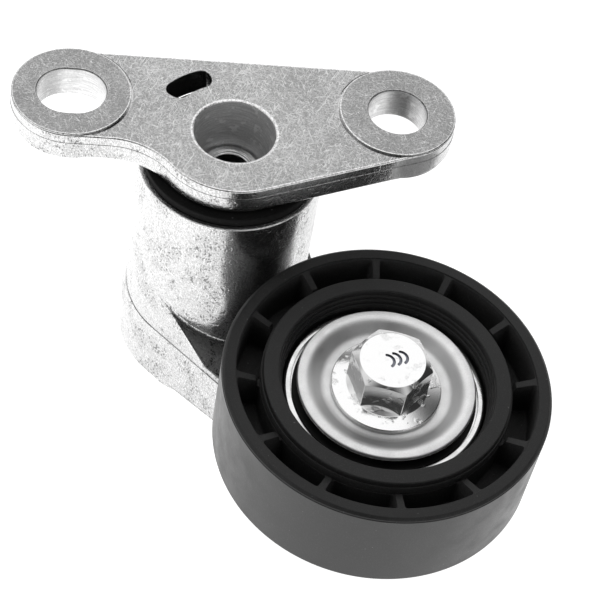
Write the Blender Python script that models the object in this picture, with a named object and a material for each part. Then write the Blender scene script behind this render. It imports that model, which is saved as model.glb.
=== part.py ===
"""Automatic belt tensioner with a smooth idler pulley, built as an assembly of separate pieces.

Metres, +Z up. The origin is on the arm's pivot axis, in the plane of the foot. The bolt-on plate is
at the top, the spring cup hangs under it, and the arm at the foot carries the pulley to one side.
The spring is free: the arm rests against its stop. Turning the arm about +Z loads the spring.
"""

from math import acos, asin, atan2, ceil, cos, hypot, pi, radians, sin, sqrt, tau

import bmesh
import bpy
from mathutils import Vector

# ---------------------------------------------------------------- gaps and facets
FIT_GAP = 0.0003          # round pieces that turn in or on each other
FACE_GAP = 0.0001         # flat faces that rest on each other
OVERSHOOT = 0.001         # how far a cutter runs past the face it opens
ARC_STEP = radians(7.5)   # facets of outlines
FINE_SEGMENTS = 56        # facets of the large turned pieces
SMALL_SEGMENTS = 32       # facets of the small turned pieces

# ---------------------------------------------------------------- mounting plate
PLATE_TOP = 0.0624
PLATE_THICKNESS = 0.006
PLATE_UNDER = PLATE_TOP - PLATE_THICKNESS
EAR_Y = 0.0079
LEFT_EAR = (-0.0325, EAR_Y)
RIGHT_EAR = (0.0331, EAR_Y)
EAR_RADIUS = 0.0121
PAD_RADIUS = 0.0120
PAD_RISE = 0.0004         # how far a machined pad stands above the plate
PAD_DROP = 0.0009         # and how far the bolt seat stands below it
PAD_TOP = PLATE_TOP + PAD_RISE
PAD_UNDER = PLATE_UNDER - PAD_DROP
BOLT_HOLE_RADIUS = 0.0060
SLOT_STRETCH = 0.0018     # how much longer than wide the left hole is
LOBE_RADIUS = 0.0162
REAR_EDGE_Y = 0.0195
WAIST_RADIUS = 0.0148     # hollow curve between the left ear and the pivot lobe
WINDOW_RADIUS = 0.0155
WINDOW_HALF_WIDTH = 0.00225
WINDOW_MIDDLE = radians(127.5)
WINDOW_HALF_ANGLE = radians(19.0)
WINDOW_CORNER = 0.0015
RECESS_MOUTH = 0.0083
RECESS_FLOOR_RADIUS = 0.00635
RECESS_DEPTH = 0.0119
RECESS_FLOOR = PLATE_TOP - RECESS_DEPTH
DRUM_RADIUS = 0.0130
DRUM_BOTTOM = 0.0473

# ---------------------------------------------------------------- pivot
PIN_RADIUS = 0.0052
PIN_BORE = 0.0039
PIN_BORE_FLOOR = 0.008
PIN_TOP_DEPTH = 0.0108    # how deep the pin's rolled end lies in the recess
PIN_TOP = PLATE_TOP - PIN_TOP_DEPTH
PIN_FLARE_RADIUS = 0.00605
PIN_GROOVE_RADIUS = 0.00475
PIN_GROOVE_DEPTH = 0.0003
PIN_HEAD_RADIUS = 0.0080
PIN_HEAD_HEIGHT = 0.0024
PIN_HOLE = PIN_RADIUS + FIT_GAP

# ---------------------------------------------------------------- arm casting
PULLEY_AXIS = (0.0316, -0.0430)
ARM_LENGTH = hypot(*PULLEY_AXIS)
ARM_ANGLE = atan2(PULLEY_AXIS[1], PULLEY_AXIS[0])
FOOT_RADIUS = 0.0200
BOSS_RADIUS = 0.0118
PARTING_LEDGE = 0.0009    # the upper half of the casting is this much smaller all round
LEDGE_Z = 0.0151
ARM_TOP = 0.0168
CUP_RADIUS = 0.0189
CUP_RIM = 0.0543
CUP_BORE = 0.0158
CUP_FLOOR = 0.0090
HUB_RADIUS = 0.0101
HUB_BORE = 0.0082
HUB_TOP = 0.0420
FOOT_RECESS_RADIUS = 0.0126
FOOT_RECESS_DEPTH = 0.0060
GUSSET_SLOPE = 0.713      # fall of the gusset's top for each metre away from the pivot
GUSSET_APEX_Z = 0.0301    # height of the gusset's top plane over the pivot axis
GUSSET_INSET = 0.0002     # keeps its side walls just inside those of the arm
UNDERSIDE_Z = 0.0060
UNDERSIDE_SLOPE = 0.237
UNDERSIDE_SLOPE_END = 0.0266
UNDERCUT_MARGIN = 0.0005
PEDESTAL_RADIUS = 0.0105
PEDESTAL_TOP = 0.0224
SPIGOT_RADIUS = 0.0082
SPIGOT_TOP = 0.0364
BOLT_THREAD_HOLE = 0.0052

# ---------------------------------------------------------------- travel stop at the foot
ARM_TRAVEL = radians(50.0)
STOP_TAB_ANGLE = radians(150.0)
STOP_TAB_HALF = radians(7.0)
STOP_TAB_RADIUS = 0.0149
STOP_CLEARANCE = radians(1.5)
RETAINER_RADIUS = 0.0123
RETAINER_BOTTOM = PIN_HEAD_HEIGHT + FACE_GAP
RETAINER_TOP = 0.0042
WASHER_TOP = FOOT_RECESS_DEPTH - FACE_GAP

# ---------------------------------------------------------------- torsion spring and its seats
WIRE_RADIUS = 0.0021
COIL_RADIUS = 0.01295
COIL_PITCH = 0.0050
COIL_TURNS = 6
COIL_START_Z = 0.0129
COIL_START_ANGLE = radians(-60.0)
COIL_STEPS_PER_TURN = 20
WIRE_SIDES = 6
SEAT_INNER = HUB_RADIUS + FIT_GAP
SEAT_OUTER = CUP_BORE - FIT_GAP
SEAT_SPLIT = radians(14.0)
SEAT_CLEARANCE = 0.0002

# ---------------------------------------------------------------- bushings
UPPER_BUSHING_INNER = DRUM_RADIUS + FIT_GAP
UPPER_BUSHING_SKIRT = CUP_BORE - FIT_GAP
UPPER_BUSHING_FLANGE = 0.0179
UPPER_BUSHING_BOTTOM = 0.0520
DAMPER_BOTTOM = 0.0476
DAMPER_TOP = UPPER_BUSHING_BOTTOM - FIT_GAP
DAMPER_SPLIT = radians(12.0)

# ---------------------------------------------------------------- pulley
PULLEY_RADIUS = 0.0325
PULLEY_BOTTOM = 0.0197
PULLEY_TOP = 0.0417
PULLEY_CHAMFER = 0.0005
BORE_STEP_HIGH = 0.0020   # the stepped bore above the bearing: heights over the bearing's face
BORE_STEP_MIDDLE = 0.0012
BORE_STEP_LOW = 0.0004
BORE_STEP_WIDTH = 0.0004
BORE_LIP = 0.0008         # lip that the bearing rests on
BORE_LIP_HEIGHT = 0.0010
BORE_FLARE_HEIGHT = 0.0020
RIM_INNER = 0.0297
HUB_RING_OUTER = 0.0244
HUB_RING_INNER = 0.0212
RIB_COUNT = 12
RIB_RECESS = 0.0010
RIB_THICKNESS = 0.0016
RIB_START_ANGLE = radians(1.5)
WEB_THICKNESS = 0.0030
POCKET_INSET = 0.0002

# ---------------------------------------------------------------- ball bearing, 17 x 40 x 12 mm
BEARING_BOTTOM = 0.0250
BEARING_TOP = 0.0370
BEARING_MIDDLE = (BEARING_BOTTOM + BEARING_TOP) / 2
BEARING_OUTER = 0.0200
BEARING_BORE = 0.0085
BALL_COUNT = 8
BALL_RADIUS = 0.00337
BALL_CIRCLE = 0.01425
RACE_CLEARANCE = 0.00018
RACE_STEPS = 4
BALL_SEGMENTS = 12
BALL_RINGS = 6
INNER_LAND = 0.0122
OUTER_LAND = 0.0172
SEAL_SEAT_RADIUS = 0.0186
SEAL_SEAT_DEPTH = 0.0010
SEAL_THICKNESS = 0.0006
CAGE_INNER = 0.0129
CAGE_OUTER = 0.0156
CAGE_SHEET = 0.0008
CAGE_HALF_GAP = 0.0002
CAGE_STEPS_PER_BALL = 8

# ---------------------------------------------------------------- pulley bolt (M10) and dust shields
BOLT_RADIUS = 0.0049
BOLT_TIP = 0.0015
BOLT_TIP_CHAMFER = 0.0008
BOLT_SEAT = 0.0382
BOLT_FLANGE_RADIUS = 0.0110
BOLT_FLANGE_EDGE = 0.0008
BOLT_FLANGE_RISE = 0.0011
BOLT_HEAD_TOP = 0.0473
HEX_ACROSS_FLATS = 0.0140
HEX_ANGLE = radians(45.8)
HEX_CHAMFER_RADIUS = 0.0064
HEX_CHAMFER_SLOPE = 0.5
HEX_ROOT = 0.0004         # the flange's cone ends this far inside the hexagon's corners
SHIELD_SHEET = 0.0008
FRONT_SHIELD_LIP = 0.0383
FRONT_SHIELD_FACE = (     # (radius, height): land, groove, rise to the rolled rim, its outer edge
    (0.0126, 0.0381),
    (0.0132, 0.0378),
    (0.0143, 0.0378),
    (0.0153, 0.0392),
    (0.0162, 0.0400),
    (0.0171, 0.0398),
    (0.0177, 0.0391),
)
REAR_SHIELD_RADIUS = 0.0176
REAR_SHIELD_DISH = 0.0005
BOLT_CLEARANCE_HOLE = 0.0055

ALUMINIUM = ((0.62, 0.62, 0.62), 0.38, 1.0)
STEEL = ((0.55, 0.55, 0.54), 0.30, 1.0)
ZINC = ((0.72, 0.72, 0.70), 0.28, 1.0)
SPRING_STEEL = ((0.30, 0.32, 0.36), 0.40, 1.0)
BRIGHT_STEEL = ((0.70, 0.70, 0.70), 0.12, 1.0)
BLACK_NYLON = ((0.025, 0.025, 0.027), 0.45, 0.0)
NATURAL_NYLON = ((0.55, 0.50, 0.40), 0.50, 0.0)
BLACK_RUBBER = ((0.015, 0.015, 0.015), 0.70, 0.0)


# ---------------------------------------------------------------- outlines
def polar(radius, angle, centre=(0.0, 0.0)):
    return (centre[0] + radius * cos(angle), centre[1] + radius * sin(angle))


def arc(centre, radius, start, end):
    """Points on a circle from start to end, both included, in steps of about ARC_STEP."""
    steps = max(1, ceil(abs(end - start) / ARC_STEP - 0.001))
    return [polar(radius, start + (end - start) * i / steps, centre) for i in range(steps + 1)]


def circle(centre, radius, segments):
    return [polar(radius, tau * i / segments, centre) for i in range(segments)]


def two_circle_outline(near, far):
    """Outline round two circles, one at the pivot and one at the pulley, and their outer tangents."""
    lean = acos((near - far) / ARM_LENGTH)
    far_arc = arc(PULLEY_AXIS, far, ARM_ANGLE - lean, ARM_ANGLE + lean)
    near_arc = arc((0.0, 0.0), near, ARM_ANGLE + lean, ARM_ANGLE + tau - lean)
    return far_arc + near_arc


def plate_outline():
    """The plate's edge, anticlockwise: right ear, straight rear edge, left ear, waist, pivot lobe."""
    rise = REAR_EDGE_Y - EAR_Y
    run = sqrt(EAR_RADIUS**2 - rise**2)
    reach = hypot(*RIGHT_EAR)
    towards_ear = atan2(RIGHT_EAR[1], RIGHT_EAR[0])
    right_tangent = towards_ear + asin((LOBE_RADIUS - EAR_RADIUS) / reach) - pi / 2
    waist_y = EAR_Y - EAR_RADIUS - WAIST_RADIUS
    waist_x = -sqrt((LOBE_RADIUS + WAIST_RADIUS) ** 2 - waist_y**2)
    to_lobe = atan2(-waist_y, -waist_x)
    right = arc(RIGHT_EAR, EAR_RADIUS, right_tangent, atan2(rise, -run))
    left = arc(LEFT_EAR, EAR_RADIUS, atan2(rise, run), 1.5 * pi)
    waist = arc((waist_x, waist_y), WAIST_RADIUS, pi / 2, to_lobe)
    lobe = arc((0.0, 0.0), LOBE_RADIUS, to_lobe + pi, right_tangent + tau)
    return right + left + waist + lobe[1:-1]


def slot_outline(centre, radius, stretch):
    half = stretch / 2
    right = arc((centre[0] + half, centre[1]), radius, -pi / 2, pi / 2)
    left = arc((centre[0] - half, centre[1]), radius, pi / 2, 1.5 * pi)
    return right + left


def ring_sector(inner, outer, start, end, corner=0.0, centre=(0.0, 0.0)):
    """A sector of a ring with rounded corners, anticlockwise."""
    middle = (inner + outer) / 2
    turn = corner / middle

    def corner_arc(radius, angle, first):
        steps = 3 if corner else 0
        bends = [first + pi / 2 * i / max(steps, 1) for i in range(steps + 1)]
        return [polar(radius + corner * sin(b), angle + turn * cos(b), centre) for b in bends]

    outer_side = arc(centre, outer, start + turn, end - turn)[1:-1]
    inner_side = arc(centre, inner, end - turn, start + turn)[1:-1]
    points = corner_arc(outer - corner, start + turn, pi / 2)[::-1] + outer_side
    points += corner_arc(outer - corner, end - turn, 0.0)[::-1]
    points += corner_arc(inner + corner, end - turn, -pi / 2)[::-1] + inner_side
    points += corner_arc(inner + corner, start + turn, pi)[::-1]
    return points


def ring_profile(inner, outer, bottom, top):
    """Cross section of a plain ring, or of a disc when inner is 0."""
    return [(inner, bottom), (outer, bottom), (outer, top), (inner, top)]


# ---------------------------------------------------------------- solids
def new_mesh(bm, name):
    bmesh.ops.remove_doubles(bm, verts=bm.verts, dist=1e-7)
    bmesh.ops.recalc_face_normals(bm, faces=bm.faces)
    mesh = bpy.data.meshes.new(name)
    bm.to_mesh(mesh)
    bm.free()
    mesh.shade_smooth()
    mesh.set_sharp_from_angle(angle=radians(35))
    return mesh


def turned_mesh(name, profile, segments, centre=(0.0, 0.0)):
    """A closed (radius, height) profile spun round a vertical axis through centre."""
    bm = bmesh.new()
    verts = [bm.verts.new((centre[0] + r, centre[1], z)) for r, z in profile]
    edges = []
    for a, b in zip(verts, verts[1:] + verts[:1]):
        on_axis = a.co.x == centre[0] and b.co.x == centre[0]
        if not on_axis:
            edges.append(bm.edges.new((a, b)))
    bmesh.ops.spin(
        bm, geom=verts + edges, cent=(centre[0], centre[1], 0), axis=(0, 0, 1),
        angle=tau, steps=segments, use_merge=True,
    )
    return new_mesh(bm, name)


def prism_bmesh(outline, bottom, top):
    bm = bmesh.new()
    face = bm.faces.new([bm.verts.new((x, y, bottom)) for x, y in outline])
    lifted = bmesh.ops.extrude_face_region(bm, geom=[face])["geom"]
    moved = [v for v in lifted if isinstance(v, bmesh.types.BMVert)]
    bmesh.ops.translate(bm, verts=moved, vec=(0, 0, top - bottom))
    return bm


def prism_mesh(name, outline, bottom, top):
    return new_mesh(prism_bmesh(outline, bottom, top), name)


def slice_off(bm, point, normal):
    """Removes what lies on the normal's side of a plane and closes the cut."""
    geometry = bm.verts[:] + bm.edges[:] + bm.faces[:]
    cut = bmesh.ops.bisect_plane(
        bm, geom=geometry, dist=1e-7, plane_co=point, plane_no=normal, clear_outer=True
    )["geom_cut"]
    edges = [e for e in cut if isinstance(e, bmesh.types.BMEdge)]
    bmesh.ops.contextual_create(bm, geom=edges)


def swept_mesh(name, sections, closed):
    """Quads between matching sections, with end caps unless the sweep closes on itself."""
    bm = bmesh.new()
    rings = [[bm.verts.new(p) for p in section] for section in sections]
    following = rings[1:] + (rings[:1] if closed else [])
    for ring, after in zip(rings, following):
        for i in range(len(ring)):
            j = (i + 1) % len(ring)
            bm.faces.new((ring[i], ring[j], after[j], after[i]))
    if not closed:
        bm.faces.new(rings[0])
        bm.faces.new(rings[-1])
    return new_mesh(bm, name)


def ring_section(angle, inner, outer, bottom, top):
    (ax, ay), (bx, by) = polar(inner, angle), polar(outer, angle)
    return [(ax, ay, bottom), (bx, by, bottom), (bx, by, top), (ax, ay, top)]


# ---------------------------------------------------------------- objects
def principled(name, look):
    material = bpy.data.materials.get(name) or bpy.data.materials.new(name)
    material.use_nodes = True
    shader = material.node_tree.nodes["Principled BSDF"]
    colour, roughness, metallic = look
    shader.inputs["Base Color"].default_value = (*colour, 1.0)
    shader.inputs["Roughness"].default_value = roughness
    shader.inputs["Metallic"].default_value = metallic
    return material


def add_empty(name, location, parent=None):
    empty = bpy.data.objects.new(name, None)
    empty.location = location
    empty.parent = parent
    bpy.context.scene.collection.objects.link(empty)
    return empty


def add_piece(mesh, look, parent):
    """A named piece whose own material carries its look; its mesh is drawn in the parent's frame."""
    mesh.materials.append(principled(mesh.name, look))
    piece = bpy.data.objects.new(mesh.name, mesh)
    piece.parent = parent
    bpy.context.scene.collection.objects.link(piece)
    return piece


def add_tool(mesh, parent):
    """A helper solid that a Boolean reads and the model leaves out."""
    tool = bpy.data.objects.new(mesh.name, mesh)
    tool.parent = parent
    tool.hide_render = True
    tool.display_type = "WIRE"
    bpy.context.scene.collection.objects.link(tool)
    return tool


def combine(piece, operation, mesh):
    modifier = piece.modifiers.new(mesh.name, "BOOLEAN")
    modifier.operation = operation
    modifier.solver = "EXACT"
    modifier.object = add_tool(mesh, piece.parent)
    return piece


def cut(piece, mesh):
    return combine(piece, "DIFFERENCE", mesh)


def fuse(piece, mesh):
    return combine(piece, "UNION", mesh)


# ---------------------------------------------------------------- base: plate and pivot
def add_mounting_plate(base):
    """Cast plate: two ears with machined pads, a window, a deep pivot recess and the drum below."""
    slab = prism_mesh("mounting_plate", plate_outline(), PLATE_UNDER, PLATE_TOP)
    piece = add_piece(slab, ALUMINIUM, base)
    for side, centre in (("left", LEFT_EAR), ("right", RIGHT_EAR)):
        pad = circle(centre, PAD_RADIUS, FINE_SEGMENTS)
        fuse(piece, prism_mesh(side + "_pad", pad, PAD_UNDER, PAD_TOP))
    drum = ring_profile(0, DRUM_RADIUS, DRUM_BOTTOM, PLATE_UNDER + OVERSHOOT)
    fuse(piece, turned_mesh("drum", drum, FINE_SEGMENTS))
    low, high = PAD_UNDER - OVERSHOOT, PAD_TOP + OVERSHOOT
    left_hole = slot_outline(LEFT_EAR, BOLT_HOLE_RADIUS, SLOT_STRETCH)
    right_hole = circle(RIGHT_EAR, BOLT_HOLE_RADIUS, FINE_SEGMENTS)
    cut(piece, prism_mesh("left_hole", left_hole, low, high))
    cut(piece, prism_mesh("right_hole", right_hole, low, high))
    window = ring_sector(
        WINDOW_RADIUS - WINDOW_HALF_WIDTH, WINDOW_RADIUS + WINDOW_HALF_WIDTH,
        WINDOW_MIDDLE - WINDOW_HALF_ANGLE, WINDOW_MIDDLE + WINDOW_HALF_ANGLE, WINDOW_CORNER,
    )
    cut(piece, prism_mesh("window", window, low, high))
    draft = (RECESS_MOUTH - RECESS_FLOOR_RADIUS) / (PLATE_TOP - RECESS_FLOOR)
    recess = [
        (0, DRUM_BOTTOM - OVERSHOOT),
        (PIN_HOLE, DRUM_BOTTOM - OVERSHOOT),
        (PIN_HOLE, RECESS_FLOOR),
        (RECESS_FLOOR_RADIUS, RECESS_FLOOR),
        (RECESS_MOUTH + draft * OVERSHOOT, PLATE_TOP + OVERSHOOT),
        (0, PLATE_TOP + OVERSHOOT),
    ]
    cut(piece, turned_mesh("pivot_recess", recess, FINE_SEGMENTS))


def add_pivot_pin(base):
    """Semi-tubular rivet: solid head at the foot, hollow shank, end rolled over in the recess."""
    flare_bottom = RECESS_FLOOR + FACE_GAP
    groove_half = PIN_GROOVE_DEPTH    # its sides slope at 45 degrees
    profile = [
        (0, 0),
        (PIN_HEAD_RADIUS, 0),
        (PIN_HEAD_RADIUS, PIN_HEAD_HEIGHT),
        (PIN_RADIUS, PIN_HEAD_HEIGHT),
        (PIN_RADIUS, flare_bottom),
        (PIN_FLARE_RADIUS, flare_bottom),
        (PIN_FLARE_RADIUS, PIN_TOP),
        (PIN_GROOVE_RADIUS + groove_half, PIN_TOP),
        (PIN_GROOVE_RADIUS, PIN_TOP - PIN_GROOVE_DEPTH),
        (PIN_GROOVE_RADIUS - groove_half, PIN_TOP),
        (PIN_BORE, PIN_TOP),
        (PIN_BORE, PIN_BORE_FLOOR),
        (0, PIN_BORE_FLOOR),
    ]
    add_piece(turned_mesh("pivot_pin", profile, SMALL_SEGMENTS), STEEL, base)


def add_retaining_plate(base):
    """Steel plate keyed to the pin; its tab runs in the arm's pocket and stops the arm both ways."""
    disc = ring_profile(PIN_HOLE, RETAINER_RADIUS, RETAINER_BOTTOM, RETAINER_TOP)
    piece = add_piece(turned_mesh("retaining_plate", disc, SMALL_SEGMENTS), STEEL, base)
    inside = (PIN_HOLE + RETAINER_RADIUS) / 2
    start, end = STOP_TAB_ANGLE - STOP_TAB_HALF, STOP_TAB_ANGLE + STOP_TAB_HALF
    tab = ring_sector(inside, STOP_TAB_RADIUS, start, end)
    fuse(piece, prism_mesh("stop_tab", tab, RETAINER_BOTTOM, RETAINER_TOP))


def add_thrust_washer(base):
    """Nylon washer between the retaining plate and the arm's foot."""
    profile = ring_profile(PIN_HOLE, RETAINER_RADIUS, RETAINER_TOP + FACE_GAP, WASHER_TOP)
    add_piece(turned_mesh("thrust_washer", profile, SMALL_SEGMENTS), NATURAL_NYLON, base)


# ---------------------------------------------------------------- spring
def coil_height(turn):
    return COIL_START_Z + COIL_PITCH * turn


def add_torsion_spring(base):
    """Right-handed coil of round wire whose cut ends butt against the steps of its two seats."""
    sections = []
    steps = COIL_TURNS * COIL_STEPS_PER_TURN
    for i in range(steps + 1):
        turn = i / COIL_STEPS_PER_TURN
        angle = COIL_START_ANGLE + tau * turn
        ring = []
        for side in range(WIRE_SIDES):
            bend = tau * (side + 0.5) / WIRE_SIDES
            x, y = polar(COIL_RADIUS + WIRE_RADIUS * cos(bend), angle)
            ring.append((x, y, coil_height(turn) + WIRE_RADIUS * sin(bend)))
        sections.append(ring)
    add_piece(swept_mesh("torsion_spring", sections, closed=False), SPRING_STEEL, base)


def seat_sections(first_turn, bottom_of, top_of):
    """Cross sections of a seat, one turn long less its split, with heights given for each turn."""
    steps = COIL_STEPS_PER_TURN
    sections = []
    for i in range(steps + 1):
        turn = first_turn + (1 - SEAT_SPLIT / tau) * i / steps
        angle = COIL_START_ANGLE + tau * turn
        sections.append(ring_section(angle, SEAT_INNER, SEAT_OUTER, bottom_of(turn), top_of(turn)))
    return sections


def add_lower_spring_seat(arm):
    """Ramp that follows the coil's first turn, on the floor of the cup."""
    reach = WIRE_RADIUS + SEAT_CLEARANCE
    sections = seat_sections(
        0,
        lambda turn: CUP_FLOOR + FACE_GAP,
        lambda turn: coil_height(turn) - reach,
    )
    add_piece(swept_mesh("lower_spring_seat", sections, closed=False), BLACK_NYLON, arm)


def add_upper_spring_seat(base):
    """The same ramp upside down under the drum, for the coil's last turn."""
    reach = WIRE_RADIUS + SEAT_CLEARANCE
    sections = seat_sections(
        COIL_TURNS - 1 + SEAT_SPLIT / tau,
        lambda turn: coil_height(turn) + reach,
        lambda turn: DRUM_BOTTOM - FACE_GAP,
    )
    add_piece(swept_mesh("upper_spring_seat", sections, closed=False), BLACK_NYLON, base)


# ---------------------------------------------------------------- arm
def undercut_mesh():
    """What is hollowed under the arm, between the round foot and the round boss."""
    foot = FOOT_RADIUS + UNDERCUT_MARGIN
    boss = BOSS_RADIUS + UNDERCUT_MARGIN
    spread = radians(75)
    foot_arc = arc((0.0, 0.0), foot, ARM_ANGLE - spread, ARM_ANGLE + spread)
    boss_arc = arc(PULLEY_AXIS, boss, ARM_ANGLE + pi - spread, ARM_ANGLE + pi + spread)
    wide = 1.6 * FOOT_RADIUS
    out_left = polar(wide, ARM_ANGLE + pi / 2, polar(foot * cos(spread), ARM_ANGLE))
    out_right = polar(wide, ARM_ANGLE - pi / 2, polar(foot * cos(spread), ARM_ANGLE))
    far = ARM_LENGTH - boss * cos(spread)
    far_left = polar(wide, ARM_ANGLE + pi / 2, polar(far, ARM_ANGLE))
    far_right = polar(wide, ARM_ANGLE - pi / 2, polar(far, ARM_ANGLE))
    outline = foot_arc + [out_left, far_left] + boss_arc + [far_right, out_right]
    bm = prism_bmesh(outline, -OVERSHOOT, UNDERSIDE_Z)
    knee_x, knee_y = polar(UNDERSIDE_SLOPE_END, ARM_ANGLE)
    normal = Vector((-UNDERSIDE_SLOPE * cos(ARM_ANGLE), -UNDERSIDE_SLOPE * sin(ARM_ANGLE), 1))
    slice_off(bm, (knee_x, knee_y, UNDERSIDE_Z), normal)
    return new_mesh(bm, "undercut")


def gusset_mesh():
    """Web that falls from the cup to the arm's top face between the two tangent side walls."""
    near, far = FOOT_RADIUS - PARTING_LEDGE - GUSSET_INSET, BOSS_RADIUS - PARTING_LEDGE
    lean = acos((near - far) / ARM_LENGTH)
    reach = (GUSSET_APEX_Z - ARM_TOP) / GUSSET_SLOPE
    start = near * cos(lean)
    corners = []
    for along in (start, reach):
        half = (near - along * cos(lean)) / sin(lean)
        middle = polar(along, ARM_ANGLE)
        corners.append([polar(side * half, ARM_ANGLE + pi / 2, middle) for side in (-1, 1)])
    outline = [corners[0][0], corners[1][0], corners[1][1], corners[0][1]]
    bm = prism_bmesh(outline, LEDGE_Z, GUSSET_APEX_Z)
    end_x, end_y = polar(reach, ARM_ANGLE)
    normal = Vector((GUSSET_SLOPE * cos(ARM_ANGLE), GUSSET_SLOPE * sin(ARM_ANGLE), 1))
    slice_off(bm, (end_x, end_y, ARM_TOP), normal)
    return new_mesh(bm, "gusset")


def add_tensioner_arm(arm):
    """One casting: round foot, spring cup with its inner hub, arm, pulley boss and bearing spigot."""
    lower = two_circle_outline(FOOT_RADIUS, BOSS_RADIUS)
    upper = two_circle_outline(FOOT_RADIUS - PARTING_LEDGE, BOSS_RADIUS - PARTING_LEDGE)
    piece = add_piece(prism_mesh("tensioner_arm", lower, 0.0, LEDGE_Z), ALUMINIUM, arm)
    cut(piece, undercut_mesh())
    fuse(piece, prism_mesh("upper_half", upper, LEDGE_Z - OVERSHOOT, ARM_TOP))
    fuse(piece, gusset_mesh())
    cup_foot = LEDGE_Z - 2 * OVERSHOOT
    cup = circle((0.0, 0.0), CUP_RADIUS, FINE_SEGMENTS)
    fuse(piece, prism_mesh("cup", cup, cup_foot, CUP_RIM))
    boss = [
        (0, cup_foot),
        (PEDESTAL_RADIUS, cup_foot),
        (PEDESTAL_RADIUS, PEDESTAL_TOP),
        (SPIGOT_RADIUS, PEDESTAL_TOP),
        (SPIGOT_RADIUS, SPIGOT_TOP),
        (0, SPIGOT_TOP),
    ]
    fuse(piece, turned_mesh("boss", boss, SMALL_SEGMENTS, PULLEY_AXIS))
    inside = [
        (0, -OVERSHOOT),
        (FOOT_RECESS_RADIUS, -OVERSHOOT),
        (FOOT_RECESS_RADIUS, FOOT_RECESS_DEPTH),
        (HUB_BORE, FOOT_RECESS_DEPTH),
        (HUB_BORE, HUB_TOP),
        (HUB_RADIUS, HUB_TOP),
        (HUB_RADIUS, CUP_FLOOR),
        (CUP_BORE, CUP_FLOOR),
        (CUP_BORE, CUP_RIM + OVERSHOOT),
        (0, CUP_RIM + OVERSHOOT),
    ]
    cut(piece, turned_mesh("cup_inside", inside, FINE_SEGMENTS))
    first = STOP_TAB_ANGLE - STOP_TAB_HALF - STOP_CLEARANCE - ARM_TRAVEL
    last = STOP_TAB_ANGLE + STOP_TAB_HALF + STOP_CLEARANCE
    pocket = ring_sector(FOOT_RECESS_RADIUS - OVERSHOOT, STOP_TAB_RADIUS + FIT_GAP, first, last)
    cut(piece, prism_mesh("stop_pocket", pocket, -OVERSHOOT, RETAINER_TOP + FIT_GAP))
    thread = circle(PULLEY_AXIS, BOLT_THREAD_HOLE, SMALL_SEGMENTS)
    cut(piece, prism_mesh("bolt_thread", thread, -OVERSHOOT, SPIGOT_TOP + OVERSHOOT))


def add_pivot_bushing(arm):
    """Nylon sleeve in the cup's inner hub, which turns on the pin."""
    profile = ring_profile(PIN_HOLE, HUB_BORE - FIT_GAP, FOOT_RECESS_DEPTH + FACE_GAP, HUB_TOP)
    add_piece(turned_mesh("pivot_bushing", profile, SMALL_SEGMENTS), NATURAL_NYLON, arm)


def add_upper_bushing(arm):
    """Flanged ring pressed into the cup's mouth; the drum turns in it and the flange fills the gap."""
    rim, under = CUP_RIM + FACE_GAP, PLATE_UNDER - 2 * FACE_GAP
    profile = [
        (UPPER_BUSHING_INNER, UPPER_BUSHING_BOTTOM),
        (UPPER_BUSHING_SKIRT, UPPER_BUSHING_BOTTOM),
        (UPPER_BUSHING_SKIRT, rim),
        (UPPER_BUSHING_FLANGE, rim),
        (UPPER_BUSHING_FLANGE, under),
        (UPPER_BUSHING_INNER, under),
    ]
    add_piece(turned_mesh("upper_bushing", profile, FINE_SEGMENTS), BLACK_NYLON, arm)


def add_damper_ring(arm):
    """Split friction ring between the drum and the cup's wall."""
    steps = SMALL_SEGMENTS
    sweep = tau - DAMPER_SPLIT
    inner, outer = UPPER_BUSHING_INNER, UPPER_BUSHING_SKIRT
    sections = []
    for i in range(steps + 1):
        angle = DAMPER_SPLIT / 2 + sweep * i / steps
        sections.append(ring_section(angle, inner, outer, DAMPER_BOTTOM, DAMPER_TOP))
    add_piece(swept_mesh("damper_ring", sections, closed=False), NATURAL_NYLON, arm)


# ---------------------------------------------------------------- pulley bolt and shields
def add_pulley_bolt(axis):
    """M10 flange bolt: chamfered hexagon on a round flange, plain shank to its tip in the boss."""
    corner = HEX_ACROSS_FLATS / sqrt(3)
    flange_edge = BOLT_SEAT + BOLT_FLANGE_EDGE
    flange_top = flange_edge + BOLT_FLANGE_RISE
    chamfer_foot = BOLT_HEAD_TOP - (BOLT_FLANGE_RADIUS - HEX_CHAMFER_RADIUS) * HEX_CHAMFER_SLOPE
    body = [
        (0, BOLT_TIP),
        (BOLT_RADIUS - BOLT_TIP_CHAMFER, BOLT_TIP),
        (BOLT_RADIUS, BOLT_TIP + BOLT_TIP_CHAMFER),
        (BOLT_RADIUS, BOLT_SEAT),
        (BOLT_FLANGE_RADIUS, BOLT_SEAT),
        (BOLT_FLANGE_RADIUS, flange_edge),
        (corner - HEX_ROOT, flange_top),
        (0, flange_top),
    ]
    hexagon = [polar(corner, HEX_ANGLE + tau * i / 6) for i in range(6)]
    top_cut = [
        (0, BOLT_SEAT),
        (BOLT_FLANGE_RADIUS, BOLT_SEAT),
        (BOLT_FLANGE_RADIUS, chamfer_foot),
        (HEX_CHAMFER_RADIUS, BOLT_HEAD_TOP),
        (0, BOLT_HEAD_TOP),
    ]
    head = prism_mesh("pulley_bolt", hexagon, flange_edge, BOLT_HEAD_TOP + OVERSHOOT)
    piece = add_piece(head, ZINC, axis)
    combine(piece, "INTERSECT", turned_mesh("head_chamfer", top_cut, SMALL_SEGMENTS))
    fuse(piece, turned_mesh("bolt_body", body, SMALL_SEGMENTS))


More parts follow.
